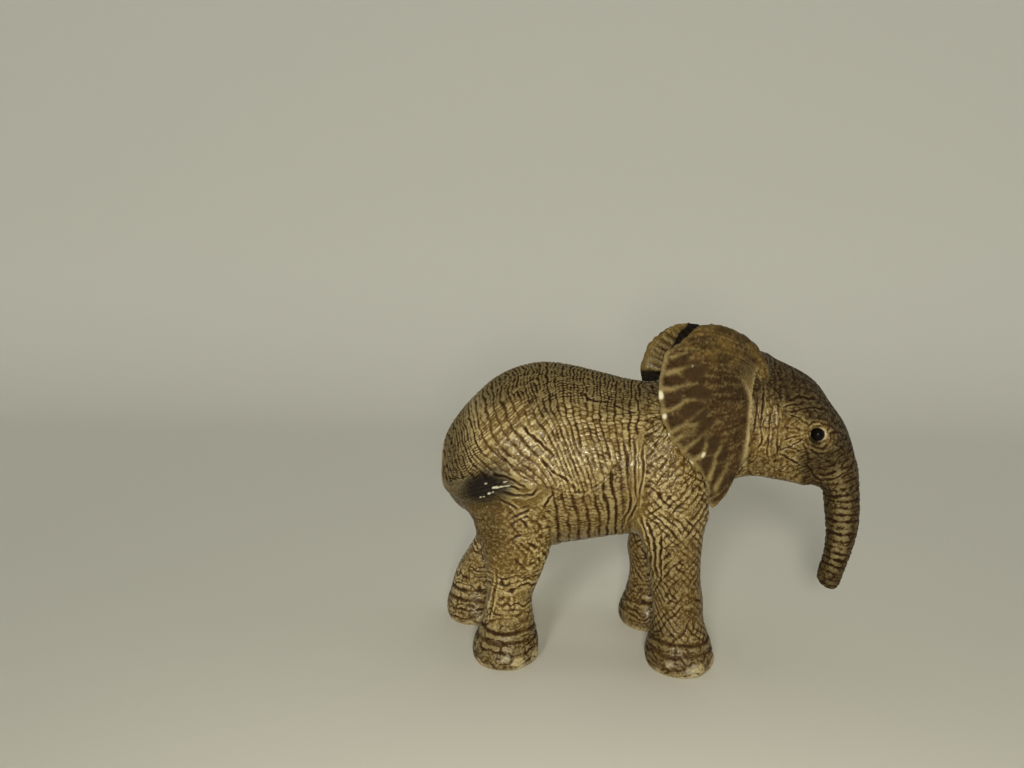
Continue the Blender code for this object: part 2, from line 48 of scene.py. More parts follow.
# The photographer's view
# A phone camera a little above the figure's back and behind its middle, seven degrees down.
# The skin's folds are traced in the photograph's pixels, so this view also carries them back.
PHOTO_WIDTH = 1024
PHOTO_HEIGHT = 768
FOCAL_PIXELS = 770
CAMERA_PITCH = math.radians(7.2)
CAMERA_YAW = math.radians(5)
CAMERA_PLACE = np.array([-13.85, -160.15, 75.4])
SENSOR_WIDTH = 36

to_right = np.array([math.cos(CAMERA_YAW), math.sin(CAMERA_YAW), 0])
level_ahead = np.array([-math.sin(CAMERA_YAW), math.cos(CAMERA_YAW), 0])
straight_up = np.array([0, 0, 1])
ahead = level_ahead * math.cos(CAMERA_PITCH) - straight_up * math.sin(CAMERA_PITCH)
to_top = level_ahead * math.sin(CAMERA_PITCH) + straight_up * math.cos(CAMERA_PITCH)


def photo_place(points):
    """Where points (mm) lie in the photograph, in pixels."""
    shown = points - CAMERA_PLACE
    depth = shown @ ahead
    across = PHOTO_WIDTH / 2 + FOCAL_PIXELS * (shown @ to_right) / depth
    down = PHOTO_HEIGHT / 2 - FOCAL_PIXELS * (shown @ to_top) / depth
    return np.stack([across, down], 1)


def put(name, data):
    """A new object in the scene."""
    thing = bpy.data.objects.new(name, data)
    bpy.context.scene.collection.objects.link(thing)
    return thing


camera = put("camera", bpy.data.cameras.new("camera"))
camera.data.sensor_width = SENSOR_WIDTH
camera.data.lens = SENSOR_WIDTH * FOCAL_PIXELS / PHOTO_WIDTH
camera.data.clip_start = 10 * MM
camera.matrix_world = Matrix.Translation(Vector(CAMERA_PLACE * MM)) @ Matrix(
    (to_right, to_top, -ahead)
).transposed().to_4x4()
bpy.context.scene.camera = camera

# The bare casting
# Soft PVC figures of this size are moulded solid. The mouldings meet without a visible line, so
# their skin is carved as one surface here and parted again at the joints further on.
CASTING_GRAIN = 0.4 * MM
CASTING_NODES = ("body", "head", "ear_right", "ear_left", "tail")
EARS = ("ear_right", "ear_left")
SMOOTH_WIDTH = 2 * MM
THIN_SMOOTH_TURNS = 4
SOLE_EDGE = 1.6 * MM
SOLE_TURNS = 8
NEAREST_SHARE = 0.5
BORDER_TURNS = 6
WEB_FOOT = 60 * MM
WEB_STEP = 0.5 * MM
WEB_REACH = 9 * MM
WEB_RADIUS = 2 * MM
ROOT_REACH = (1 * MM, 4 * MM)


def mesh_arrays(mesh):
    """A mesh's points, edges and point normals as arrays."""
    points = np.empty(len(mesh.vertices) * 3)
    mesh.vertices.foreach_get("co", points)
    edges = np.empty(len(mesh.edges) * 2, int)
    mesh.edges.foreach_get("vertices", edges)
    normals = np.empty(len(mesh.vertices) * 3)
    mesh.vertices.foreach_get("normal", normals)
    return points.reshape(-1, 3), edges.reshape(-1, 2), normals.reshape(-1, 3)


def neighbour_mean(values, edges):
    """Each point's mean of the values at its neighbours."""
    total = np.empty_like(values)
    count = len(values)
    for k in range(values.shape[1]):
        total[:, k] = np.bincount(edges[:, 0], values[edges[:, 1], k], count)
        total[:, k] += np.bincount(edges[:, 1], values[edges[:, 0], k], count)
    met = np.bincount(edges.ravel(), minlength=count)
    return total / np.maximum(met, 1)[:, None]


def solid_tree(node):
    """A search tree over one solid's faces."""
    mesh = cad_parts[node].data
    return BVHTree.FromPolygons([v.co for v in mesh.vertices], [tuple(p.vertices) for p in mesh.polygons])


def ear_web(ear):
    """Balls, as place and radius, that web an ear's upper front edge to the crown."""
    head = solid_tree("head")
    points = np.array([v.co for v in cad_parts[ear].data.vertices])
    balls = []
    for height in np.arange(WEB_FOOT, points[:, 2].max(), WEB_STEP):
        beside = points[np.abs(points[:, 2] - height) < 2 * WEB_STEP]
        front = Vector(beside[beside[:, 0].argmax()])
        foot, _, _, gap = head.find_nearest(front)
        if gap < WEB_REACH:
            balls += [(foot.lerp(front, t), WEB_RADIUS * (1 - 0.5 * t)) for t in (0, 0.2, 0.4, 0.6, 0.8)]
    return balls


def worked_out(thing):
    """An object's mesh after its modifiers."""
    graph = bpy.context.evaluated_depsgraph_get()
    return bpy.data.meshes.new_from_object(thing.evaluated_get(graph))


def cast_skin():
    """One closed mesh over all the mouldings, evenly fine, with each face's node."""
    shape = bmesh.new()
    for node in CASTING_NODES:
        shape.from_mesh(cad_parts[node].data)
    for ear in EARS:
        for place, radius in ear_web(ear):
            bmesh.ops.create_icosphere(
                shape, subdivisions=2, radius=radius, matrix=Matrix.Translation(place)
            )
    joined = bpy.data.meshes.new("casting")
    shape.to_mesh(joined)
    shape.free()
    casting = put("casting", joined)
    fuse = casting.modifiers.new("fuse", "REMESH")
    fuse.mode = "VOXEL"
    fuse.voxel_size = CASTING_GRAIN
    coarse = worked_out(casting)
    casting.modifiers.clear()
    places, edges, normals = mesh_arrays(coarse)
    trees = [solid_tree(node) for node in CASTING_NODES]
    far = np.array([[tree.find_nearest(Vector(p))[3] for tree in trees] for p in places.tolist()])
    owner = far.argmin(1)
    from_head = far[:, CASTING_NODES.index("head")]
    thin = np.clip((from_head - ROOT_REACH[0]) / (ROOT_REACH[1] - ROOT_REACH[0]), 0, 1)
    thin = (thin * np.isin(owner, [CASTING_NODES.index(n) for n in EARS]))[:, None]
    low = (places[:, 2:] < SOLE_EDGE) * 1.0
    for turn in range(SOLE_TURNS):
        low = neighbour_mean(low, edges)
    rough_places = places.copy()
    turns = int(2 * (SMOOTH_WIDTH / CASTING_GRAIN) ** 2)
    for turn in range(turns):
        held = np.maximum(thin * (turn >= THIN_SMOOTH_TURNS), low * (turn >= SOLE_TURNS))
        places += NEAREST_SHARE * (1 - held) * (neighbour_mean(places, edges) - places)
    coarse.vertices.foreach_set("co", places.ravel())
    coarse.update()
    _, _, normals = mesh_arrays(coarse)
    lost = ((rough_places - places) * normals).sum(1)[:, None]
    for turn in range(turns // 2):
        lost = neighbour_mean(lost, edges)
    places += normals * lost
    coarse.vertices.foreach_set("co", places.ravel())
    shares = np.eye(len(CASTING_NODES))[owner]
    for turn in range(BORDER_TURNS):
        shares = neighbour_mean(shares, edges)
    owner = shares.argmax(1)
    label = coarse.attributes.new("node", "INT", "FACE")
    label.data.foreach_set("value", [owner[p.vertices[0]] for p in coarse.polygons])
    casting.data = coarse
    halve = casting.modifiers.new("halve", "SUBSURF")
    halve.levels = 1
    halve.render_levels = 1
    fine = worked_out(casting)
    bpy.data.objects.remove(casting)
    return fine


skin = cast_skin()
places, edges, normals = mesh_arrays(skin)
places = places / MM
faces = np.empty(len(skin.loops), int)
skin.loops.foreach_get("vertex_index", faces)
faces = faces.reshape(-1, 4)
face_owner = np.empty(len(faces), int)
skin.attributes["node"].data.foreach_get("value", face_owner)
owner = np.zeros(len(places), int)
owner[faces] = face_owner[:, None]
on_ear = np.isin(owner, [CASTING_NODES.index(n) for n in EARS])
on_tail = owner == CASTING_NODES.index("tail")
on_head = owner == CASTING_NODES.index("head")

# Where the skin is looked up in the photograph
# The left side is the right one mirrored. Its legs stand further back, so they are looked up
# further forward. Small pushes and moves then bring the outline on to the photographed one, and the
# soles spread sideways. Widths in pixels turn to mm at the near flank's scale.
PIXELS_PER_MM = 5.2
HIP_Z = 50.8
LEG_MIDDLE_X = -14
FORE_STEP = 4.2
HIND_STEP = 8.6
FORE_LEAN = ((0.085, 0), (0.15, 0.1), (0.23, 0.2), (0.35, 0.35), (0.45, 0.5), (0.565, 0.7), (0.8, 1))
HIND_LEAN = ((0.165, 0), (0.265, 0.12), (0.35, 0.36), (0.47, 0.75), (0.57, 0.92), (0.69, 1))
TABLE_SIZE = 64
MEANDER_WIDTH = 0.11
LEG_Y = 10
FORE_FOOT_X = 7
HIND_FOOT_X = -28.1
FOOT_SPREAD = (0.03, 0.23)
FOOT_SHIFT = 0.35
SOLE_LEVELS = (7, 1)
TRUNK_TIP_SHIFT = 0.4
TRUNK_TIP_LEVELS = (22, 13)
EAR_TIP_PLACE = (713, 497)
EAR_TIP_REACH = 10
EAR_TIP_MOVE = (-0.3, 0, -0.9)
EAR_CORNER_PLACE = (679, 334)
EAR_CORNER_REACH = (26, 4)
EAR_CORNER_MOVE = (0.75, 0, -0.6)
PUSHES = (
    # pixels across, down and reach, and mm outwards
    (550, 364, 46, 0.5), (440, 466, 28, -0.65), (470, 400, 24, -0.25), (468, 521, 13, -0.75),
    (549, 562, 17, 0.7), (552, 552, 10, 1.3), (703, 555, 38, 0.35), (812, 384, 20, 0.55),
    (708, 516, 10, 0.5), (703, 600, 13, 0.45),
    (838, 422, 24, 0.75), (853, 470, 30, 0.75), (860, 520, 26, 0.6), (765, 353, 9, 0.5),
    (806, 483, 12, 0.35), (825, 491, 7, -0.6), (755, 479, 20, -0.65), (578, 541, 26, 0.4),
)
FAR_PUSHES = (
    (460, 565, 26, 0.85), (627, 545, 14, 0.8), (660, 330, 16, -0.45), (641, 368, 10, 0.5),
)

noise_table = np.random.default_rng(7).uniform(-1, 1, (TABLE_SIZE, TABLE_SIZE, TABLE_SIZE, 3))


def along(pairs, at):
    """Straight lines between pairs of numbers, read at the places given."""
    return np.interp(at, *np.array(pairs, float).T)


def fade(values, start, end):
    """0 before start to 1 after end, smooth between; start may be above end."""
    t = np.clip((values - start) / (end - start), 0, 1)
    return t * t * (3 - 2 * t)


def scatter(numbers, seed):
    """A random number from -1 to 1 for each whole number."""
    spot = np.asarray(numbers).astype(int)
    return noise_table[spot % TABLE_SIZE, (spot // TABLE_SIZE + seed) % TABLE_SIZE, seed % TABLE_SIZE, 0]


def mottle(size, seed, points=None):
    """Smooth random bumps of about this size in mm on the skin or at points, from -1 to 1."""
    points = places if points is None else points
    cells = points / size + seed * 5.37
    base = np.floor(cells)
    t = cells - base
    x, y, z = (t * t * (3 - 2 * t)).T
    low = base.astype(int).T % TABLE_SIZE
    high = (low + 1) % TABLE_SIZE
    total = np.zeros(len(points))
    for across, share in ((low[0], 1 - x), (high[0], x)):
        for inwards, part in ((low[1], 1 - y), (high[1], y)):
            bottom = noise_table[across, inwards, low[2], 0]
            top = noise_table[across, inwards, high[2], 0]
            total += share * part * (bottom + z * (top - bottom))
    return total


def cracks(points, size, seed):
    """How near each point is to a border between random cells of about this size, 1 to 0."""
    cells = points / size + seed * 3.71
    base = np.floor(cells).astype(int)
    t = cells - base
    first = np.full(len(points), 9.0)
    second = np.full(len(points), 9.0)
    for k in range(27):
        step = np.array([k % 3 - 1, k // 3 % 3 - 1, k // 9 - 1])
        spot = (base + step) % TABLE_SIZE
        middle = step + 0.5 + 0.45 * noise_table[spot[:, 0], spot[:, 1], spot[:, 2]]
        away = np.sqrt(((t - middle) ** 2).sum(1))
        second = np.minimum(second, np.maximum(first, away))
        first = np.minimum(first, away)
    return 1 - np.clip(second - first, 0, 1)


def meander(points, size, seed):
    """How near each point is to a winding line, 0 to 1; the lines lie about this size apart."""
    return np.clip(1 - np.abs(mottle(size, seed, points)) / MEANDER_WIDTH, 0, 1)


up_leg = places[:, 2] / HIP_Z
fore = places[:, 0] > LEG_MIDDLE_X
lean = np.where(fore, along(FORE_LEAN, up_leg), along(HIND_LEAN, up_leg))
step_back = np.where(fore, FORE_STEP, HIND_STEP) * (1 - lean)
step_back *= (places[:, 1] > 0) & ~on_head & ~on_ear & ~on_tail
left = places[:, 1] > 0
right_like = np.stack([places[:, 0] + step_back, -np.abs(places[:, 1]), places[:, 2]], 1)
mirror = np.where(left, -1, 1)
right_normal = np.stack([normals[:, 0], mirror * normals[:, 1], normals[:, 2]], 1)
px, py = photo_place(right_like).T
far_px, far_py = photo_place(places).T


def pushed(rows, across, down):
    """How far the pushes move each point outwards, in mm."""
    push = np.zeros(len(across))
    for x, y, reach, outwards in rows:
        push += outwards * np.exp(-((across - x) ** 2 + (down - y) ** 2) / reach**2)
    return push


push = pushed(PUSHES, px, py) + pushed(FAR_PUSHES, far_px, far_py) * fade(places[:, 1], 1, 4)
places = places + normals * push[:, None]
from_foot = right_like + [0, LEG_Y, 0]
from_foot[:, 0] -= np.where(fore, FORE_FOOT_X, HIND_FOOT_X)
sole = fade(places[:, 2], *SOLE_LEVELS) * ~on_head
places[:, 0] += sole * (FOOT_SPREAD[0] * from_foot[:, 0] - FOOT_SHIFT)
places[:, 1] += FOOT_SPREAD[1] * sole * from_foot[:, 1] * mirror
places[:, 0] -= TRUNK_TIP_SHIFT * on_head * fade(places[:, 2], *TRUNK_TIP_LEVELS)
tip_away = np.hypot(px - EAR_TIP_PLACE[0], py - EAR_TIP_PLACE[1])
places = places + np.outer(on_ear * np.exp(-((tip_away / EAR_TIP_REACH) ** 2)), EAR_TIP_MOVE)
corner_away = np.hypot(px - EAR_CORNER_PLACE[0], py - EAR_CORNER_PLACE[1])
places = places + np.outer(on_ear * ~left * fade(corner_away, *EAR_CORNER_REACH), EAR_CORNER_MOVE)
facing = np.clip(-(right_normal @ ahead), 0, 1)
faced = fade(facing, 0.1, 0.4)
level = right_like[:, 2]
# The mould's wear breaks every carved line up a little differently
mould_wear = 0.8 + 0.5 * mottle(0.85, 8) + 0.35 * mottle(2.3, 9)
mould_wear = np.clip(mould_wear, 0.12, 1.3)
bent_x = px + 2.0 * mottle(2.8, 1) + 1.1 * mottle(1.1, 2)
bent_y = py + 2.0 * mottle(2.8, 3) + 1.1 * mottle(1.1, 4)
waver = 1 + 0.4 * mottle(1.5, 5)
uneven = 0.78 + 0.4 * mottle(1.9, 6)
body = (1 - on_head) * (1 - on_ear) * (1 - on_tail)


def patchy(size, seed, low, high):
    """0 to 1 in soft random patches of this size in mm, where a pattern breaks up."""
    return fade(mottle(size, seed), low, high)


def spots(rows, across, down, stretch, ragged):
    """Ragged spots, 0 to 1, from rows of pixels across, down and reach."""
    spot = np.zeros(len(places))
    for x, y, reach in rows:
        away = np.hypot(stretch * (across - x), down - y) + ragged
        spot = np.maximum(spot, fade(away, reach, 0.4 * reach))
    return spot


def to_line(across, down, line):
    """Distance to a traced line, and how far along it as a share."""
    corners = np.array(line, float)
    runs = np.diff(corners, axis=0)
    lengths = np.hypot(*runs.T)
    starts = np.concatenate([[0], np.cumsum(lengths)])
    best = np.full(len(across), 1e9)
    share = np.zeros(len(across))
    for (x, y), (dx, dy), length, start in zip(corners, runs, lengths, starts):
        t = np.clip(((across - x) * dx + (down - y) * dy) / length**2, 0, 1)
        away = np.hypot(across - x - t * dx, down - y - t * dy)
        nearer = away < best
        best = np.where(nearer, away, best)
        share = np.where(nearer, (start + t * length) / starts[-1], share)
    return best, share


def pull(gaps):
    """The thin-plate kernel of the fit below."""
    squared = (gaps**2).sum(-1) + 1e-12
    return squared * np.log(squared)


def fitted(lines, across, down):
    """A smooth field that has the number given with each traced line all along that line."""
    ends, numbers = [], []
    for number, line in lines:
        ends += line
        numbers += [number] * len(line)
    ends = np.array(ends, float) / PHOTO_WIDTH
    spread = pull(ends[:, None] - ends[None]) + np.eye(len(ends)) * 1e-4
    edge = np.concatenate([np.ones((len(ends), 1)), ends], 1)
    matrix = np.block([[spread, edge], [edge.T, np.zeros((3, 3))]])
    weights = np.linalg.solve(matrix, np.concatenate([numbers, np.zeros(3)]))
    result = np.empty(len(across))
    for part in np.array_split(np.arange(len(across)), 64):
        here = np.stack([across[part], down[part]], 1) / PHOTO_WIDTH
        flat = np.concatenate([np.ones((len(part), 1)), here], 1)
        result[part] = pull(here[:, None] - ends[None]) @ weights[:-3] + flat @ weights[-3:]
    return result


def folds(phase, seed, fading):
    """Creases at whole numbers of phase: how near each is, from 0 midway to 1, and the ridge."""
    nearest = np.round(phase)
    near = 1 - 2 * np.abs(phase - nearest)
    strength = (0.72 + 0.42 * scatter(nearest, seed)) * fading
    return near, strength, np.floor(phase)


# How far the carving has moved each point outwards so far, in mm
raised = np.zeros(len(places))


def carve(near, strength, depth, sharpness):
    """Presses creases into the skin."""
    global raised
    raised = raised - strength * depth * near**sharpness * mould_wear


def crease(phase, seed, fading, where, depth, sharpness):
    """Presses in creases at whole numbers of phase and returns the ridges' numbers."""
    near, strength, ridge = folds(phase, seed, fading)
    carve(near, strength * where, depth, sharpness)
    return ridge


def carve_lines(lines, width, depth, lip=0.3):
    """Traced creases with soft lips, fading at their ends, where the skin faces the camera."""
    global raised
    for line in lines:
        away, share = to_line(bent_x, bent_y, line)
        away = away / PIXELS_PER_MM / waver
        ends = fade(share, -0.02, 0.2) * fade(share, 1.02, 0.8)
        hold = uneven * ends * faced * mould_wear
        raised = raised - depth * hold * np.exp(-((away / width) ** 2))
        raised = raised + depth * lip * hold * np.exp(-(((away - 2 * width) / width) ** 2))


# Torso hide
# The flank's folds run down from the spine, sweep forwards over the haunch and gather above the
# hind leg. Below the long belly crease they run on as ribs. Fine lines cross them like bricks.
HAUNCH_FLOW = (
    (-4, ((449, 435), (451, 455), (456, 472))),
    (-2, ((459, 422), (461, 441), (467, 458), (477, 469))),
    (0, ((469, 411), (473, 435), (483, 452), (497, 465), (514, 476), (531, 484))),
    (2, ((483, 398), (487, 422), (497, 441), (511, 456), (526, 468), (538, 479), (546, 486))),
    (4, ((500, 385), (503, 406), (511, 425), (526, 442), (538, 455), (548, 468), (556, 484))),
    (6, ((516, 376), (520, 398), (529, 418), (540, 435), (550, 452), (558, 468), (564, 486))),
    (8, ((531, 369), (534, 392), (543, 415), (553, 432), (560, 449), (567, 466), (573, 484))),
    (10, ((547, 366), (549, 389), (553, 412), (561, 435), (569, 454), (576, 470), (582, 487))),
    (12, ((563, 368), (563, 391), (566, 412), (573, 434), (580, 455), (587, 471), (592, 487))),
    (14, ((579, 371), (578, 398), (581, 419), (587, 441), (593, 459), (598, 475), (601, 484))),
    (16, ((594, 375), (593, 402), (595, 422), (600, 441), (604, 457), (608, 472), (610, 480))),
    (18, ((609, 379), (608, 406), (609, 426), (612, 444), (615, 455), (618, 468))),
    (20, ((624, 382), (623, 412), (624, 435), (624, 452))),
    (22, ((640, 385), (638, 412), (637, 435), (637, 455), (637, 484), (636, 512))),
    (24, ((656, 385), (655, 412), (654, 435), (654, 455))),
)
BELLY_FLOW = (
    (0, ((553, 494), (557, 512), (559, 531))),
    (1, ((561, 497), (567, 512), (570, 530))),
    (2, ((571, 496), (577, 512), (580, 531))),
    (3, ((583, 495), (587, 512), (589, 531))),
    (4, ((594, 492), (597, 509), (599, 529))),
    (5, ((604, 488), (607, 505), (608, 528))),
    (6, ((613, 484), (616, 501), (616, 526))),
    (7, ((622, 480), (624, 500), (622, 526))),
)
BELLY_CREASE = (
    (526, 476), (539, 484), (551, 489), (563, 491), (574, 493), (586, 493), (594, 488),
    (603, 481), (611, 469), (620, 461), (626, 454),
)
FLANK_CREASES = (
    ((553, 494), (547, 502), (543, 508)),
    ((521, 424), (531, 435), (543, 446), (554, 455)),
    ((539, 455), (551, 469), (563, 479), (577, 491)),
    ((494, 446), (509, 461), (520, 474), (531, 479)),
    ((577, 392), (589, 398), (600, 401), (611, 402)),
    ((614, 405), (624, 410), (636, 414)),
    ((636, 396), (639, 404), (639, 412)),
)
ELBOW_CREASES = (
    ((626, 440), (627, 469), (628, 487), (631, 500), (627, 514), (624, 529)),
    ((635, 432), (635, 469), (635, 487), (638, 500), (632, 514), (627, 531)),
    ((643, 440), (644, 473), (641, 487), (640, 501), (636, 514)),
)
TORSO_MIDDLE_Z = 41
TORSO_RADIUS = 18
CROSS_SPACING = 0.95
BACK_GRID = 0.72
BELLY_GRID = 0.82
FOLD_DEPTH = 0.42
CROSS_DEPTH = 0.2
GRID_DEPTH = 0.46
QUIET_PLACE = (604, 476)
QUIET_HALF = (22, 13)

torso = body * fade(py, 560, 530)
below_crease = py - along(((440, 480), (500, 474), *BELLY_CREASE, (640, 430), (660, 400)), px)
flank = torso * fade(below_crease, 4, -2) * fade(px, 652, 636)
belly = torso * fade(below_crease, 0, 5) * fade(px, 545, 556) * fade(px, 634, 622)
quiet = np.hypot((px - QUIET_PLACE[0]) / QUIET_HALF[0], (py - QUIET_PLACE[1]) / QUIET_HALF[1])
quiet = 1 - 0.3 * fade(quiet, 1.2, 0.5)
gather = fade(px, 452, 475) * fade(px, 595, 570) * fade(py, 420, 445) * (below_crease < 6)
wander = 0.3 * mottle(4.5, 11) + 0.2 * mottle(1.7, 12) + 0.1 * mottle(0.8, 2)
drift = 0.5 + 0.5 * mottle(2.6, 13)
fine_grid = np.maximum(fade(level + 1.5 * mottle(3, 10), 51.5, 55.5),
                       fade(px + 4 * mottle(3, 9), 490, 470) * fade(py, 500, 480)) * flank

fold_phase = fitted(HAUNCH_FLOW, px, py) + wander * (1 - 0.5 * gather)
unbroken = np.maximum(fade(drift, 0, 0.5), 0.8 * gather) * quiet
ridge = crease(fold_phase, 14, unbroken, flank * (1 - 0.3 * fine_grid), FOLD_DEPTH, 5)
around = TORSO_RADIUS * np.arctan2(np.abs(places[:, 1]), places[:, 2] - TORSO_MIDDLE_Z)
sweep = (np.minimum(px, 560) - 560) / PIXELS_PER_MM
cross_phase = (around + sweep) / CROSS_SPACING + 0.5 * scatter(ridge, 15)
cross_phase += 0.45 * mottle(1.5, 16)
crossed = flank * (1 - 0.5 * fine_grid) * (1 - 0.55 * gather)
brick = crease(cross_phase, 17, patchy(1.3, 18, -0.7, -0.1) * quiet, crossed, CROSS_DEPTH, 3.6)
raised += 0.05 * flank * (1 - fine_grid) * quiet * scatter(ridge * 17 + brick, 26)
grid_phase = 2 * fold_phase + 0.3 * mottle(1.1, 27)
ridge = crease(grid_phase, 28, fine_grid, patchy(1.2, 29, -0.9, -0.2), GRID_DEPTH, 2.4)
grid_phase = (around + sweep) / BACK_GRID + 0.5 * scatter(ridge, 30) + 0.4 * mottle(1.2, 8)
crease(grid_phase, 7, fine_grid, 1, GRID_DEPTH, 2.4)
raised += 0.05 * fine_grid * mottle(0.45, 5)

rib_phase = fitted(BELLY_FLOW, px, py) + 0.7 * wander
crease(rib_phase, 19, fade(drift, -0.3, 0.2), belly, FOLD_DEPTH * 1.2, 4)
rib_phase = rib_phase * 2 + 0.3 * mottle(2, 20)
ridge = crease(rib_phase, 21, fade(drift, 0.3, 0.8), belly, CROSS_DEPTH, 3)
cross_phase = around / BELLY_GRID + 0.5 * scatter(ridge, 22) + 0.45 * mottle(1.4, 23)
brick = crease(cross_phase, 24, patchy(1.2, 25, -0.6, 0.1), belly, CROSS_DEPTH, 3.2)
raised += 0.04 * belly * scatter(ridge * 17 + brick, 26)

carve_lines([BELLY_CREASE], 0.18, 0.16, lip=0)
carve_lines(FLANK_CREASES, 0.2, 0.34)
carve_lines(ELBOW_CREASES, 0.2, 0.24, lip=0.9)

# Shoulder and legs
# Columns under the hide, each with its own criss-cross. The fore pair and the shoulder above it
# have crossed diagonals like quilting, the hind shanks have wavy rings and the thigh a fine fuzz.
FORE_BACK = -3.6
HIND_BACK = -1.1
LEG_GIRTH_RADIUS = 6.2
QUILT_SPACING = 1.75
QUILT_DEPTH = 0.42
FINE_QUILT_SPACING = 1.05
FINE_QUILT_DEPTH = 0.2
THIGH_SPACING = 1.5
THIGH_DEPTH = 0.28
RING_SPACING = 1.15
RING_DEPTH = 0.34
INSIDE_RING_DEPTH = 0.24
RING_CROSS_SPACING = 1.6
RING_CROSS_DEPTH = 0.14
FORE_ANKLE = 6.2
HIND_ANKLE = 7.2
ANKLE_STEP = 1.9
ANKLE_WIDTH = 0.36
FORE_RIDGES = (
    ((639, 511), (644, 529), (649, 546), (651, 564), (651, 583)),
    ((647, 520), (653, 540), (656, 557), (657, 583)),
    ((660, 531), (661, 551), (661, 569), (659, 584)),
)
SHANK_SEAM = ((497, 566), (496, 585), (492, 604), (489, 622))

leg_x = np.where(fore, FORE_FOOT_X + FORE_BACK * lean, HIND_FOOT_X + HIND_BACK * lean)
turned = np.arctan2(-right_like[:, 1] - LEG_Y, right_like[:, 0] - leg_x)
girth = LEG_GIRTH_RADIUS * turned
inside = fade(right_normal[:, 1], 0.2, 0.6)
shoulder = body * fore * fade(px, 640, 650)
fore_foot = shoulder * fade(level, 9, 6)
hind_leg = body * ~fore * fade(py, 495, 515) * fade(px, 556, 546)
shank = body * ~fore * fade(level, 21, 17)
thigh = hind_leg * (1 - shank)

tilt = 0.34 * mottle(3.2, 31) + 0.24 * mottle(1.3, 32)
quilted = shoulder * fade(level, 5, 8) * (1 - 0.3 * fade(level, 33, 42))
for seed, slope in ((33, 0.95), (34, -0.95)):
    phase = (level + slope * girth) / QUILT_SPACING + tilt
    crease(phase, seed, patchy(2.4, seed + 10, -0.5, 0.2), quilted, QUILT_DEPTH, 4.4)
for seed, slope in ((35, 2.2), (36, -0.3)):
    phase = (level + slope * girth) / FINE_QUILT_SPACING + 1.5 * tilt
    crease(phase, seed, patchy(1.6, seed + 10, -0.1, 0.5), quilted, FINE_QUILT_DEPTH, 3.2)

ring_phase = level / RING_SPACING + 0.75 * mottle(2.4, 51) + 0.5 * mottle(1.1, 52)
ringed = np.maximum(shank, fore_foot)
ridge = crease(ring_phase, 53, patchy(2.0, 54, -0.6, 0.2), ringed, RING_DEPTH, 3.4)
carve(meander(places * [0.35, 0.35, 1], 1.0, 148), ringed, 0.15, 1.0)
crease(ring_phase, 55, patchy(1.8, 56, -0.5, 0.3), shoulder * inside, INSIDE_RING_DEPTH, 3)
cross_phase = girth / RING_CROSS_SPACING + 0.5 * scatter(ridge, 57) + 0.5 * mottle(1.2, 58)
crease(cross_phase, 59, patchy(1.3, 60, 0, 0.6), shank, RING_CROSS_DEPTH, 2)
ankle_level = np.where(fore, FORE_ANKLE, HIND_ANKLE) + 0.5 * mottle(4, 30)
for lower in (0, ANKLE_STEP):
    ankle = np.exp(-(((level - ankle_level + lower) / ANKLE_WIDTH) ** 2)) * patchy(3, 29, -0.8, 0)
    raised -= (0.12 if lower else 0.2) * body * ankle

raised += thigh * 0.07 * (mottle(0.5, 61, places * [1, 1, 2]) + 0.6 * mottle(0.45, 62))
for seed, slope in ((63, 0.8), (64, -1.1)):
    phase = (level + slope * girth) / THIGH_SPACING + tilt
    before_tuft = thigh * fade(px, 503, 520)
    crease(phase, seed, patchy(1.5, seed + 10, -0.1, 0.3), before_tuft, THIGH_DEPTH, 2.4)
carve_lines(FORE_RIDGES, 0.24, 0.36, lip=0.8)
carve_lines([SHANK_SEAM], 0.2, 0.16, lip=1.2)

# Head hide
# The face is traced crease by crease: deep upright folds at the neck, lines that run out from the
# eye, lids, cheek and mouth. The crown and brow have only a fine cross-grain.
NECK_FOLDS = (
    ((764, 375), (763, 400), (762, 420), (761, 440), (758, 457), (747, 470)),
    ((778, 398), (778, 420), (777, 443), (780, 463)),
    ((770, 407), (769, 427), (768, 447), (772, 467)),
    ((757, 393), (756, 413), (754, 435)),
)
EYE_LINES = (
    ((785, 427), (797, 428), (808, 433)),
    ((782, 440), (797, 435), (808, 435)),
    ((780, 452), (793, 446), (805, 438)),
    ((788, 413), (800, 418), (810, 428)),
    ((803, 442), (812, 448), (821, 448), (828, 442)),
    ((806, 448), (813, 453), (823, 453), (832, 447)),
    ((788, 413), (802, 407), (817, 406), (828, 413)),
    ((785, 400), (800, 397), (817, 398)),
    ((783, 407), (793, 403), (806, 402)),
    ((808, 429), (813, 424), (820, 422), (828, 426)),
    ((828, 433), (836, 432), (843, 436)),
    ((829, 441), (837, 445), (845, 452)),
)
CHEEK_LINES = (
    ((780, 453), (788, 458), (797, 463), (803, 467)),
    ((810, 450), (820, 458), (830, 462), (837, 460)),
    ((785, 445), (797, 452), (808, 453)),
    ((813, 468), (825, 468), (835, 462), (843, 450)),
    ((817, 475), (830, 472), (840, 467), (849, 453)),
    ((823, 480), (833, 478), (845, 472), (852, 460)),
    ((786, 462), (783, 468), (776, 474)),
    ((800, 443), (806, 450), (808, 460)),
)
MOUTH_LINE = ((802, 462), (808, 468), (815, 476), (822, 481))
EAR_FOLD = ((727, 362), (735, 371), (746, 384), (751, 401), (750, 424), (747, 446), (744, 466))
EYE_PLACE = (818.3, 434)
LID_RADIUS = 1.36
LID_WIDTH = 0.2
LID_RING_START = 1.9
LID_RING_SPACING = 0.6
LID_RING_DEPTH = 0.13
NECK_SPACING = 6.2
NECK_DEPTH = 0.14
LEATHER_SIZE = 1.45
SMALL_LEATHER_SIZE = 0.8
CROWN_GRAIN_SPACINGS = (0.95, 0.8)
CROWN_GRAIN_DEPTH = 0.34

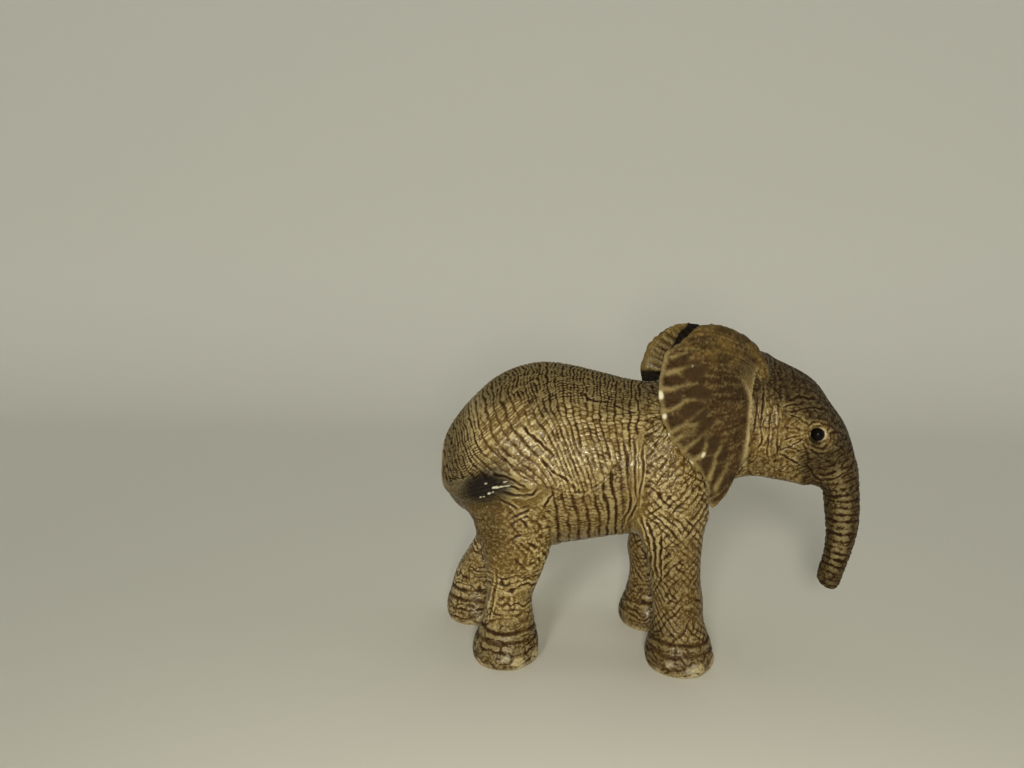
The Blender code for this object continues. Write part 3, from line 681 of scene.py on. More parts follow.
carve_lines(NECK_FOLDS, 0.16, 0.2, lip=0.8)
carve_lines(EYE_LINES, 0.17, 0.33, lip=0.5)
carve_lines(CHEEK_LINES, 0.18, 0.36, lip=0.5)
carve_lines([MOUTH_LINE], 0.22, 0.34)
from_fold, share_of_fold = to_line(px, py, EAR_FOLD)
ear_fold = np.maximum(on_head, on_ear) * np.exp(-((from_fold / 3.2) ** 2)) * fade(facing, 0.15, 0.45)
ear_fold *= fade(share_of_fold, 0.15, 0.45) * (0.7 + 0.5 * mottle(1.6, 140))
raised += 0.3 * ear_fold

from_eye = np.hypot(px - EYE_PLACE[0], py - EYE_PLACE[1]) / PIXELS_PER_MM
on_face = on_head * fade(facing, 0.2, 0.5)
lid = on_face * np.exp(-(((from_eye - LID_RADIUS) / LID_WIDTH) ** 2))
raised += 0.14 * lid
lid_phase = (from_eye - LID_RING_START) / LID_RING_SPACING + 0.3 * mottle(1.5, 71)
round_eye = on_face * fade(from_eye, 4.2, 2.4) * fade(from_eye, 1.5, 1.9)
crease(lid_phase, 72, round_eye, patchy(1.6, 73, -0.4, 0.3), LID_RING_DEPTH, 2)

neck = on_head * fade(px, 800, 780)
neck_phase = px / NECK_SPACING + 0.3 * mottle(3, 74)
crease(neck_phase, 75, patchy(2.6, 76, -0.3, 0.5), neck * faced, NECK_DEPTH, 1.2)
crown = on_head * fade(level + 0.25 * (places[:, 0] - 20), 58, 62)
bent = places + 0.3 * np.stack([mottle(1.6, 81 + k) for k in range(3)], 1)
sloped = np.stack([places[:, 0] - places[:, 2], places[:, 1], 0.5 * (places[:, 0] + places[:, 2])], 1)
leather = cracks(bent * [1.15, 1, 1], LEATHER_SIZE, 85)
small_leather = cracks(bent, SMALL_LEATHER_SIZE, 86)
face = on_head * (1 - crown)
upper_shoulder = shoulder * fade(level, 30, 40)
carve(leather, face, 0.13, 8)
carve(small_leather, on_head * (1 - 0.5 * crown), 0.05, 5)
for grid, stretch, size, seed, where, depth in (
    (bent, (1, 1, 0.3), 1.1, 141, neck * (1 - crown), 0.13),
    (bent, (1, 1, 0.6), 0.8, 142, neck * (1 - crown), 0.1),
    (bent, (0.5, 1, 1), 1.2, 143, face * (1 - 0.6 * neck), 0.17),
    (sloped, (1, 1, 1), 1.6, 144, face * (1 - neck), 0.16),
    (sloped, (1, 1, 0.4), 1.0, 145, upper_shoulder, 0.14),
    (sloped, (0.4, 1, 1), 0.9, 146, upper_shoulder, 0.14),
):
    carve(meander(grid * stretch, size, seed), where, depth, 1)
carve(leather, 0.3 * shoulder * fade(level, 8, 14), 0.16, 7)
carve(small_leather, body, 0.05, 4)
for direction, spacing in enumerate(CROWN_GRAIN_SPACINGS):
    seed = 87 + direction
    phase = places[:, direction] / spacing + 0.7 * mottle(2.5, seed)
    crease(phase, seed, patchy(1.5, seed + 4, -0.5, 0.3), crown, CROWN_GRAIN_DEPTH, 2.2)

# Trunk
# One moulding with the head, a tapering hose with a ring every millimetre and a half. The rings
# swell into pads on each side and stay fine in front and behind.
TRUNK_AXIS = (
    (35, 49), (36.8, 43), (38.5, 38), (40.1, 33), (40.5, 27.5), (40.4, 22), (39.4, 17.4),
    (38.7, 14), (38.5, 13),
)
TRUNK_RING = 1.45
TRUNK_RING_DEPTH = 0.28
PAD_HEIGHT = 0.2
HALF_RING_DEPTH = 0.22
PAD_LINE_DEPTH = 0.12

away, share = to_line(places[:, 0], places[:, 2], TRUNK_AXIS)
along_trunk = share * np.hypot(*np.diff(np.array(TRUNK_AXIS), axis=0).T).sum()
trunk = on_head * fade(away, 9, 6) * fade(level, 47, 42)
pad = fade(0.96 * np.abs(normals[:, 1]) - 0.28 * normals[:, 0], 0.76, 1.0) * fade(level, 15, 20)
ring_phase = along_trunk / TRUNK_RING + 0.16 * mottle(2.2, 91)
crease(ring_phase, 92, patchy(1.6, 93, -1.2, -0.5), trunk, TRUNK_RING_DEPTH + PAD_HEIGHT * pad, 1.5)
raised += trunk * pad * PAD_HEIGHT
crease(ring_phase * 2, 94, patchy(1.4, 95, -0.7, 0), trunk * (1 - 0.8 * pad), HALF_RING_DEPTH, 2)
crease(ring_phase * 2 + 0.5, 96, patchy(1.2, 97, 0.1, 0.5), trunk * pad, PAD_LINE_DEPTH, 2)

# Ears
# Thin leaves of the same soft PVC, pegged and glued into slots in the head. The outer face is sprayed
# dark and smooth, with dark cells between pale veins along the rear rim and a few pale painted
# highlights on it. The back is ribbed.
EAR_PIVOT = (745, 392)
LEFT_EAR_DROP = 1.2
EAR_CELLS = (
    # degrees below level, distance from the pivot, half width and half length, all in pixels
    (-25, 73, 5.5, 9), (-23, 56, 8.5, 10), (-8, 73.5, 6.5, 10.5), (7.7, 75.5, 7, 10.5),
    (23.4, 77.5, 7, 9), (21, 54, 8, 12), (48, 75, 5.5, 13), (57.5, 61, 5.5, 9),
    (63.7, 84, 6, 10), (70.4, 66, 5, 9), (73, 91, 6, 10), (2, 46, 6, 10), (40, 52, 5, 9),
)
EAR_VEINS = (
    ((672, 357), (682, 353), (692, 351)),
    ((668, 373), (676, 371), (686, 367), (692, 365), (704, 366)),
    ((663, 389), (672, 389), (682, 386), (694, 384), (706, 385)),
    ((663, 411), (671, 410), (678, 406), (686, 401), (699, 399), (712, 397)),
    ((669, 433), (678, 429), (685, 424), (692, 419), (702, 410), (712, 404)),
    ((674, 441), (682, 436), (692, 431), (704, 430)),
    ((684, 451), (689, 446), (699, 439), (705, 433), (712, 421)),
    ((694, 460), (702, 456), (706, 447), (707, 439), (714, 433), (719, 424)),
    ((709, 479), (714, 467), (716, 456), (722, 447), (729, 436), (733, 424)),
    ((716, 487), (724, 474), (729, 463), (735, 450), (738, 436)),
)
EAR_LIGHT_CELL = (35, 68, 6, 12)
# Painted highlights: pale glints on the outer face near the rim, where the veins end
EAR_PAINTED_GLINTS = (
    # pixels across, down and reach
    (660.5, 395, 4.5), (664.5, 416, 5), (703, 455, 3.5), (691, 463, 4), (669, 434, 2.5), (692.8, 365.6, 2.4),
)
EAR_RIB_DEGREES = 6
EAR_RAY_DEGREES = 2.2
EAR_THREAD_GRID = (16, 3)
EAR_BIN_DEGREES = 3
EAR_BIN_ZERO = 60
EAR_BIN_COUNT = 122

ear_places = right_like - np.outer(on_ear & left, [0, 0, -LEFT_EAR_DROP])
ear_x, ear_y = photo_place(ear_places).T
ear_reach = np.hypot(ear_x - EAR_PIVOT[0], ear_y - EAR_PIVOT[1])
ear_angle = np.degrees(np.arctan2(ear_y - EAR_PIVOT[1], EAR_PIVOT[0] - ear_x))
bins = np.round(ear_angle[on_ear] / EAR_BIN_DEGREES).astype(int) + EAR_BIN_ZERO
rim_reach = np.zeros(EAR_BIN_COUNT)
np.maximum.at(rim_reach, np.clip(bins, 0, EAR_BIN_COUNT - 1), ear_reach[on_ear])
bin_degrees = (np.arange(EAR_BIN_COUNT) - EAR_BIN_ZERO) * EAR_BIN_DEGREES
from_rim = np.interp(ear_angle, bin_degrees, rim_reach) - ear_reach
outer_side = on_ear * fade(-right_normal[:, 1], -0.05, 0.3)
fold_x = along([(y, x) for x, y in EAR_FOLD], ear_y)
behind_fold = np.maximum(fade(ear_x - fold_x, 0, -4), fade(ear_y, 372, 360))
outer_face = outer_side * behind_fold
inner_face = on_ear * (1 - fade(-right_normal[:, 1], -0.05, 0.3))
sway = 1.9 * mottle(2.2, 101) + 1.2 * mottle(0.9, 102)


def from_cell(degrees, reach, half_width, half_length):
    """How far each point lies from the middle of one of the ear's cells, 1 at its edge."""
    across_cell = (np.radians(ear_angle - degrees) * ear_reach + sway) / half_width
    along_cell = (ear_reach - reach + sway) / half_length
    return np.hypot(across_cell, along_cell)


cell_dark = np.zeros(len(places))
for cell in EAR_CELLS:
    cell_dark = np.maximum(cell_dark, fade(from_cell(*cell), 1.6, 0.7) * outer_face)
light_cell = fade(from_cell(*EAR_LIGHT_CELL), 1.3, 0.6) * outer_face
vein_pale = np.zeros(len(places))
for line in EAR_VEINS:
    away, share = to_line(ear_x + 0.5 * sway, ear_y - 0.5 * sway, line)
    vein = np.exp(-((away / (2.8 - 1.7 * share)) ** 2)) * fade(share + 0.1 * sway, 1.0, 0.05)
    vein_pale = np.maximum(vein_pale, vein * outer_face)
cell_dark *= 1 - 0.8 * vein_pale
rim_band = outer_face * fade(from_rim + 0.7 * sway, 7.5, 2.2) * fade(ear_angle, -42, -22)
ear_top = outer_face * fade(ear_y + 6 * mottle(3, 110) + 3 * mottle(1.1, 99), 372, 348)
ear_painted_glint = spots(EAR_PAINTED_GLINTS, ear_x, ear_y, 1.3, 2.4 * mottle(1.1, 103)) * outer_face
raised += -0.1 * cell_dark + 0.12 * vein_pale + 0.1 * rim_band
carve(cracks(bent, 1.0, 98), ear_top * fade(from_rim, 1, 6), 0.1, 6)
around_ear = np.radians(ear_angle) * ear_reach / PIXELS_PER_MM
ear_grid = np.stack([ear_reach / PIXELS_PER_MM / 3, around_ear / 0.5, 7.0 * left], 1)
ear_streaks = 0.7 * mottle(1, 149, ear_grid) + 0.5 * mottle(0.45, 150)
raised += 0.1 * outer_face * ear_streaks * (1 - 0.5 * cell_dark) * fade(from_rim, 1, 6)
ear_cloud = 0.7 * mottle(2.6, 154) + 0.4 * mottle(1.1, 155) + 0.25 * ear_streaks
rib_phase = ear_angle / EAR_RIB_DEGREES + 0.3 * mottle(3, 104)
crease(rib_phase, 105, patchy(3, 106, -0.8, 0), inner_face * fade(from_rim, 2, 12), 0.2, 1.3)
thread_grid = np.stack([ear_reach / EAR_THREAD_GRID[0], ear_angle / EAR_THREAD_GRID[1], left], 1)
carve(meander(thread_grid, 1, 147), inner_face * fade(from_rim, 1, 7), 0.07, 1)
ray_phase = ear_angle / EAR_RAY_DEGREES + 0.6 * mottle(2, 107)
crease(ray_phase, 108, outer_face, patchy(1.5, 109, -0.3, 0.4), 0.05, 1.5)

# Tail
# A strip laid along the rump that ends in a tuft pressed flat against the right thigh. The tuft and
# the hide round it are airbrushed a soft dark brown, and a few small painted highlights lie on it as
# pale streaks.
TUFT_PLACE = (488, 487)
TUFT_HALF = (32, 17)
TUFT_TILT = math.radians(-14)
TUFT_PAINTED_GLINTS = (
    # width in pixels, then the line
    (2.1, ((493, 487.5), (497, 487))), (1.1, ((498, 487.5), (510, 485.5))),
    (1.5, ((489, 493.5), (493, 492))), (1.4, ((480.5, 497.5), (484, 496.5))),
    (1.1, ((485, 483.5), (486.5, 483.5))), (1.2, ((504, 482), (507, 481.5))),
)
TUFT_ROLL = ((508, 470), (519, 477), (530, 484), (536, 489))
TUFT_FOLDS = (
    ((490, 473), (504, 476), (516, 482), (527, 489)), ((505, 486), (514, 487), (520, 492)),
    ((502, 493), (512, 495), (524, 497), (533, 494), (539, 488)), ((500, 499), (510, 505), (518, 512)),
)
TAIL_RING = 0.9
TUFT_STRAND = 4.2

tail_phase = places[:, 2] / TAIL_RING + 0.3 * mottle(1.5, 111)
crease(tail_phase, 112, on_tail, fade(py, 478, 470), 0.12, 2)
plain_thigh = raised.copy()
right_side = (1 - on_head) * (1 - on_ear) * ~left
tuft_x = (px - TUFT_PLACE[0]) * math.cos(TUFT_TILT) + (py - TUFT_PLACE[1]) * math.sin(TUFT_TILT)
tuft_y = (py - TUFT_PLACE[1]) * math.cos(TUFT_TILT) - (px - TUFT_PLACE[0]) * math.sin(TUFT_TILT)
tuft_reach = np.hypot(tuft_x / np.where(tuft_x > 0, 0.72, 1) / TUFT_HALF[0], tuft_y / TUFT_HALF[1])
tuft = right_side * fade(facing, 0.02, 0.25)
tuft = tuft * fade(tuft_reach + 0.16 * mottle(2.5, 113), 1.3, 0.45)
crease(tuft_y / TUFT_STRAND + 0.5 * mottle(3, 114), 115, tuft, 1, 0.08, 1.4)
raised += 0.06 * tuft * mottle(0.5, 151, places * [1, 1, 2])
carve_lines([TUFT_ROLL], 0.7, -0.4, lip=0)
carve_lines(TUFT_FOLDS, 0.24, 0.3, lip=0.9)
raised = np.where(left, plain_thigh, raised)
# Painted highlights: short pale streaks on the tuft where glints fall
tuft_painted_glint = np.zeros(len(places))
for width, line in TUFT_PAINTED_GLINTS:
    away, share = to_line(px, py, line)
    away = away + 0.7 * mottle(0.6, 153) + 0.45
    tuft_painted_glint = np.maximum(tuft_painted_glint, fade(away, width, 0.4 * width) * fade(facing, 0.1, 0.3))
tuft_painted_glint *= right_side

# Feet
# Each sole is flat and ends in four worn nails at the front, rubbed pale where the figure stands.
NAIL_DEGREES = (-66, -24, 18, 60)
NAIL_HALF_WIDTH = 1.6
NAIL_LEVEL = 1.5
WORN_SPOTS = ((523, 663, 5), (692, 669, 6), (670, 664, 4), (508, 657, 3))

nails = np.zeros(len(places))
for degrees in NAIL_DEGREES:
    across_nail = (turned - math.radians(degrees)) * LEG_GIRTH_RADIUS / NAIL_HALF_WIDTH
    up_nail = (level - NAIL_LEVEL) / NAIL_HALF_WIDTH
    round_nail = np.hypot(across_nail, up_nail) + 0.25 * mottle(1.2, 121)
    nails = np.maximum(nails, np.exp(-(round_nail**4)))
nails *= body * fade(level, 6, 4.5)
nail_edge = np.exp(-(((nails - 0.4) / 0.2) ** 2)) * body * fade(level, 6, 4.5) * fade(level, 0.3, 1.2)
raised += 0.1 * nails - 0.12 * nail_edge
worn_spot = spots(WORN_SPOTS, bent_x, bent_y, 1, 3 * mottle(1.0, 122)) * body * faced

# What paint, painted shade and painted highlights lie where
# Brown wash runs into every crease, a dry brush leaves pale paint on the crests, and a spray
# darkens the back, rump, crown, tuft and ears. Painted shade is mixed into the spray on the top of
# the back and the crown, the trunk's rear side, the sides of the feet turned from the camera and
# the far ear's hollow. Pale streaks on the tuft and spots on the ear's rim are painted highlights.
# All of it is worked out from the carving.
BLUR_WIDTH = 0.9
CROWN_WAY = np.array([0.45, 0, 0.89])
WEAVE_SPACING = 0.62
# Where painted shade darkens the far ear's hollow behind the near ear: pixels down and across
FAR_EAR_SHADE_EDGE = ((318, 689), (326, 685), (333, 679), (341, 674.5), (351, 671), (360, 669))

raised *= fade(places[:, 2], 0.05, 0.8)
blurred = raised[:, None]
for turn in range(int(2 * (2 * BLUR_WIDTH * MM / CASTING_GRAIN) ** 2)):
    blurred = neighbour_mean(blurred, edges)
relief = raised - blurred[:, 0]
patch = mottle(6, 131)
speck = mottle(1.6, 132)
# The top of the back darkens: partly airbrush, partly painted shade
back = body * fade(level + 2.2 * patch + speck, 50.5, 56)
rump = body * fade(px + 5 * patch + 3 * speck, 484, 452) * fade(py, 525, 480)
# The crown darkens where it faces up and forwards: partly airbrush, partly painted shade
over_crown = right_normal @ CROWN_WAY + 0.12 * patch + 0.1 * speck
crown_spray_and_shade = on_head * fade(over_crown, 0.12, 0.5) * fade(level + speck, 30, 46)
ear_foot = on_ear * (1 - behind_fold) * fade(level + 2 * patch, 55, 62)
crown_spray_and_shade = np.maximum(crown_spray_and_shade, ear_foot)
around_tuft = right_side * fade(facing, 0, 0.3) * fade(tuft_reach, 2.2, 1) * fade(px + 3 * speck, 522, 500)
dark_thigh = thigh * fade(px + 4 * speck, 516, 490) * fade(py + 4 * patch, 575, 545)
spray_and_shade = np.maximum.reduce([0.95 * back, 0.92 * rump, crown_spray_and_shade, 0.6 * around_tuft, 0.5 * dark_thigh])
spray_and_shade = np.maximum(spray_and_shade, 0.22 * shoulder * fade(level, 36, 16) + 0.15 * belly)
# The trunk sprayed darker off its pads and towards its tip, with painted shade on the side facing backwards
trunk_rear_shade = fade(normals[:, 0], 0.1, -0.5)
trunk_spray_and_shade = trunk * (0.68 + (1 - pad) * (0.3 + 0.3 * trunk_rear_shade) + fade(level + speck, 22, 15) * 0.6)
spray_and_shade = np.maximum(spray_and_shade, np.clip(trunk_spray_and_shade, 0, 0.85))
glaze = 0.75 * belly + shoulder * fade(level, 42, 14) * 0.95 + 0.6 * trunk * (1 - pad) + 0.45 * on_head
glaze = glaze + 0.55 * thigh * fade(px + 6 * speck, 545, 510) + 0.2 * shank
glaze = glaze + body * 0.9 * fade(level + 1.5 * speck, 10, 5)
far_ear_shade_x = along(FAR_EAR_SHADE_EDGE, far_py)
# Painted shade: the far ear's back face is painted near black where the near ear shades its hollow
painted_shade_far_ear = inner_face * left * np.maximum(fade(far_px - far_ear_shade_x + sway, -1, 2), fade(far_py + sway, 369, 372))
spray_and_shade = np.maximum(spray_and_shade, 0.95 * painted_shade_far_ear) * (1 - 0.55 * on_tail * fade(tuft_reach, 1.2, 1.7))
# Painted shade: the lower feet darken on their outer sides where they turn from the camera
foot_side_painted_shade = body * (1 - inside) * fade(level + 2 * patch + 1.5 * speck, 11, 6)
foot_side_painted_shade *= fade(facing + 0.3 * speck, 0.75, 0.45)
spray_and_shade = np.maximum(spray_and_shade, 0.75 * foot_side_painted_shade)
spray_and_shade = np.maximum(spray_and_shade, 0.5 * body * (1 - 0.6 * inside) * fade(level + 2 * patch + speck, 10, 5))
blotch = fade(mottle(2.4, 133) + 0.3 * speck, 0.2, 0.7)
glaze = glaze + 0.55 * blotch * body
worn = np.maximum(nails * 0.9, body * fade(level + 0.8 * speck, 1.6, 0.2) * 0.8)
worn = np.maximum(worn, ear_fold * 0.5)
net = on_head * (1 - 0.4 * crown) + 0.8 * shoulder + 0.35 * torso + 0.6 * shank + 0.1 * inner_face
brushed = np.maximum.reduce([flank * (1 - fine_grid), shoulder * fade(level, 22, 32), 0.8 * shank,
                             0.5 * trunk * pad, inner_face, 0.8 * thigh * fade(px, 515, 530)])
brushed = 0.55 + 0.45 * np.maximum(brushed, 0.8 * fine_grid)
brushed *= (1 - 0.45 * crown_spray_and_shade * on_head) * (1 - 0.6 * trunk * (1 - pad))
lid_edge = 0.4 * lid * fade(from_eye, 1.6, 1.4)
weave = (around + sweep) / WEAVE_SPACING + 0.4 * scatter(np.floor(fold_phase), 152)

skin_places = places + normals * raised[:, None]
skin_places[:, 2] = np.maximum(skin_places[:, 2], 0)
skin.vertices.foreach_set("co", (skin_places * MM).ravel())
skin.update()
_, _, carved_normals = mesh_arrays(skin)
PAINT_LAYERS = {
    "relief": relief,
    "spray_and_shade": spray_and_shade,
    "glaze": np.clip(glaze + 0.25 * patch, 0, 1),
    "worn": worn,
    "net": np.clip(net, 0, 1),
    "brushed": brushed,
    "weave": weave,
    "woven": torso * (1 - 0.5 * fine_grid),
    # The tuft's black paint, and the painted shade in the far ear's hollow
    "tuft": np.maximum(tuft, 0.95 * painted_shade_far_ear),
    "ear_face": outer_face,
    "ear_top": ear_top,
    "ear_cloud": fade(ear_cloud, -0.5, 0.5),
    "ear_dark": cell_dark,
    "ear_pale": np.maximum.reduce([0.76 * vein_pale, 0.56 * rim_band, 0.34 * light_cell]),
    # Cream worn paint and lid rings, with the painted highlights on the ear's rim and the tuft
    "wear_and_painted_glints": np.maximum.reduce([ear_painted_glint, lid_edge, 0.9 * tuft_painted_glint, 0.3 * worn_spot]),
}

# Painted mouldings
# Phthalate-free PVC, moulded in a khaki colour and painted by hand in thin acrylics. The crests are
# rubbed bare and glint, while the wash in the creases and the sprayed parts, painted shade among
# them, stay matt.
PVC_IOR = 1.53
KHAKI = "7e6b3b"
KHAKI_SHADE = "695426"
GLAZE_BROWN = "573d0c"
WASH_BROWN = "241300"
THIN_WASH = "523709"
DRY_BRUSH = "c6b484"
SPRAY_AND_SHADE_BROWN = "1f1404"
TUFT_AND_SHADE_BROWN = "140c02"
EAR_BROWN = "402b10"
EAR_TOP_BROWN = "624d22"
EAR_SHADE_BROWN = "2e1f08"
EAR_CELL_BROWN = "382811"
EAR_VEIN_BUFF = "8a784a"
CREAM_WEAR_AND_GLINTS = "d6cfb4"


def tone(code):
    """An sRGB hex colour as linear red, green, blue and alpha."""
    parts = [int(code[k : k + 2], 16) / 255 for k in (0, 2, 4)]
    return [p / 12.92 if p <= 0.04045 else ((p + 0.055) / 1.055) ** 2.4 for p in parts] + [1]


def add_node(tree, kind, inputs=(), **settings):
    """Adds a node; inputs are pairs of a socket's name or number and a value or an output."""
    node = tree.nodes.new("ShaderNode" + kind)
    for name, value in settings.items():
        setattr(node, name, value)
    for socket, value in inputs:
        if isinstance(value, bpy.types.NodeSocket):
            tree.links.new(value, node.inputs[socket])
        else:
            node.inputs[socket].default_value = value
    return node


def new_material(name):
    """A material with its node tree and its shader."""
    material = bpy.data.materials.new(name)
    material.use_nodes = True
    return material, material.node_tree, material.node_tree.nodes["Principled BSDF"]


def painted_pvc(name, stipple_mm, specular_level):
    """PVC moulding with the skin's paint layers laid over it in order, painted shade and painted highlights
    among them.
    """
    material, tree, shader = new_material(name)
    place = add_node(tree, "TexCoord").outputs["Object"]

    def layer(layer_name):
        return add_node(tree, "Attribute", attribute_name=layer_name).outputs["Fac"]

    def noise(size_mm, detail):
        inputs = [("Vector", place), ("Scale", 1 / (size_mm * MM)), ("Detail", detail)]
        return add_node(tree, "TexNoise", inputs).outputs["Fac"]

    def over(below, code, amount):
        inputs = [(0, amount), (6, below), (7, tone(code))]
        return add_node(tree, "Mix", inputs, data_type="RGBA").outputs[2]

    def span(value, low, high, start=0.0, end=1.0):
        inputs = [(0, value), (1, low), (2, high), (3, start), (4, end)]
        return add_node(tree, "MapRange", inputs).outputs[0]

    def join(one, other, operation):
        return add_node(tree, "Math", [(0, one), (1, other)], operation=operation).outputs[0]

    def coat(below, code, layer_name, cover):
        return over(below, code, join(layer(layer_name), cover, "MULTIPLY"))

    cloud = noise(5, 3)
    stipple = noise(0.42, 3)
    rough_relief = join(layer("relief"), span(stipple, 0.3, 0.7, -0.035, 0.035), "ADD")
    shaken = add_node(tree, "TexNoise", [("Vector", place), ("Scale", 1 / (1.2 * MM))]).outputs[1]
    shaken_inputs = [(0, shaken), (1, (1.1 * MM,) * 3), (2, place)]
    shaken = add_node(tree, "VectorMath", shaken_inputs, operation="MULTIPLY_ADD").outputs[0]
    net_inputs = [("Vector", shaken), ("Scale", 1 / (0.85 * MM))]
    net = add_node(tree, "TexVoronoi", net_inputs, feature="DISTANCE_TO_EDGE").outputs[0]
    net = join(span(net, 0.015, 0.1, 1, 0), layer("net"), "MULTIPLY")
    threads = join(layer("weave"), span(noise(1.2, 2), 0, 1, -1.3, 1.3), "ADD")
    threads = span(join(threads, 0.5, "PINGPONG"), 0.02, 0.17, 1, 0)
    threads = join(threads, span(noise(1.6, 2), 0.42, 0.54), "MULTIPLY")
    net = join(net, join(threads, layer("woven"), "MULTIPLY"), "MAXIMUM")
    thin_wash = span(rough_relief, 0.02, -0.08, 0, 0.85)
    wash = join(span(rough_relief, -0.04, -0.14), join(net, 0.5, "MULTIPLY"), "MAXIMUM")
    crest = join(span(rough_relief, 0.0, 0.08), layer("brushed"), "MULTIPLY")
    colour = over(tone(KHAKI), KHAKI_SHADE, span(cloud, 0.35, 0.65))
    colour = coat(colour, GLAZE_BROWN, "glaze", span(stipple, 0.3, 0.65, 0.9, 0.5))
    colour = over(colour, DRY_BRUSH, join(crest, span(cloud, 0.3, 0.7, 0.95, 0.6), "MULTIPLY"))
    colour = over(colour, THIN_WASH, thin_wash)
    # Brown airbrush, with painted shade mixed in on the back's top, crown, trunk's rear, feet's sides and
    # far ear's hollow
    colour = coat(colour, SPRAY_AND_SHADE_BROWN, "spray_and_shade", span(stipple, 0.3, 0.65, 1, 0.7))
    colour = coat(colour, EAR_BROWN, "ear_face", span(stipple, 0.3, 0.7, 1, 0.85))
    colour = coat(colour, EAR_TOP_BROWN, "ear_top", span(cloud, 0.35, 0.6, 0.4, 1))
    colour = coat(colour, EAR_SHADE_BROWN, "ear_face", span(layer("ear_cloud"), 0, 0.7, 0.75, 0))
    covered = join(layer("spray_and_shade"), layer("ear_face"), "MAXIMUM")
    colour = over(colour, EAR_VEIN_BUFF, join(join(crest, covered, "MULTIPLY"), 0.8, "MULTIPLY"))
    colour = over(colour, EAR_CELL_BROWN, layer("ear_dark"))
    colour = coat(colour, EAR_VEIN_BUFF, "ear_pale", span(stipple, 0.3, 0.6, 0.6, 1))
    colour = coat(colour, DRY_BRUSH, "worn", span(stipple, 0.35, 0.6, 0.4, 0.9))
    colour = over(colour, WASH_BROWN, join(wash, span(stipple, 0.3, 0.6, 1, 0.8), "MULTIPLY"))
    colour = over(colour, TUFT_AND_SHADE_BROWN, layer("tuft"))
    # Cream worn paint and lid rings, and the painted highlights on the ear's rim and the tuft
    colour = over(colour, CREAM_WEAR_AND_GLINTS, layer("wear_and_painted_glints"))
    tree.links.new(colour, shader.inputs["Base Color"])

    matt = join(layer("tuft"), join(covered, 0.7, "MULTIPLY"), "MAXIMUM")
    dull = join(span(thin_wash, 0, 0.8, 0.14, 0.6), span(matt, 0, 1, 0, 0.6), "ADD")
    tree.links.new(dull, shader.inputs["Roughness"])
    shader.inputs["IOR"].default_value = PVC_IOR
    shader.inputs["Specular IOR Level"].default_value = specular_level
    grain = add_node(tree, "TexVoronoi", [("Vector", place), ("Scale", 1 / (0.5 * MM))]).outputs[0]
    height = join(join(grain, stipple, "ADD"), net, "SUBTRACT")
    bump = add_node(tree, "Bump", [("Height", height), ("Distance", stipple_mm * MM)])
    tree.links.new(bump.outputs["Normal"], shader.inputs["Normal"])
    return material


def parted(name, node):
    """The skin's faces that belong to one moulding, closed where it meets its neighbours."""
    own_faces = faces[face_owner == CASTING_NODES.index(node)]
    used, corners = np.unique(own_faces, return_inverse=True)
    mesh = bpy.data.meshes.new(name)
    mesh.from_pydata(skin_places[used] * MM, [], corners.reshape(-1, 4))
    for layer_name, values in PAINT_LAYERS.items():
        layer = mesh.attributes.new(layer_name, "FLOAT", "POINT")
        layer.data.foreach_set("value", values[used].astype(np.float32))
    shape = bmesh.new()
    shape.from_mesh(mesh)
    rim = {edge for edge in shape.edges if edge.is_boundary}
    while rim:
        loop = [rim.pop()]
        ends = set(loop[0].verts)
        grown = True
        while grown:
            grown = {e for v in ends for e in v.link_edges if e in rim}
            loop += grown
            rim -= grown
            ends = {v for e in grown for v in e.verts}
        bmesh.ops.triangle_fill(shape, edges=loop, use_beauty=True)
    shape.to_mesh(mesh)
    shape.free()
    mesh.shade_smooth()
    mesh.normals_split_custom_set_from_vertices(carved_normals[used])
    return put(name, mesh)


# The stipple's height in mm and the gloss of each paint
HIDE_FINISH = (0.018, 0.22)
EAR_FINISH = (0.02, 0.2)
TAIL_FINISH = (0.03, 0.27)
hide_paint = painted_pvc("painted_pvc_hide", *HIDE_FINISH)
ear_paint = painted_pvc("painted_pvc_ear", *EAR_FINISH)
tail_paint = painted_pvc("painted_pvc_tail", *TAIL_FINISH)
for node in CASTING_NODES:
    piece = parted(node + "_moulding", node)
    if node in EARS:
        slot, paint = "painted_ear", ear_paint
    elif node == "tail":
        slot, paint = "painted_tail", tail_paint
    else:
        slot, paint = "painted_skin", hide_paint
    piece.data.materials.append(paint)
    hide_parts(node)
    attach(piece, "root")

# Eyes
# Two beads of black PVC pressed into the lids. They are the only truly glossy spots of the face and
# show one small bright reflection each.
EYE_STEPS = 48
EYE_SHARE = 0.85
EYE_SHIFT = (0.36 * MM, 0, 0)
EYE_BLACK = "060504"
EYE_CLOUD = "15100c"
EYE_ROUGHNESS = 0.25
EYE_SPECULAR = 0.07

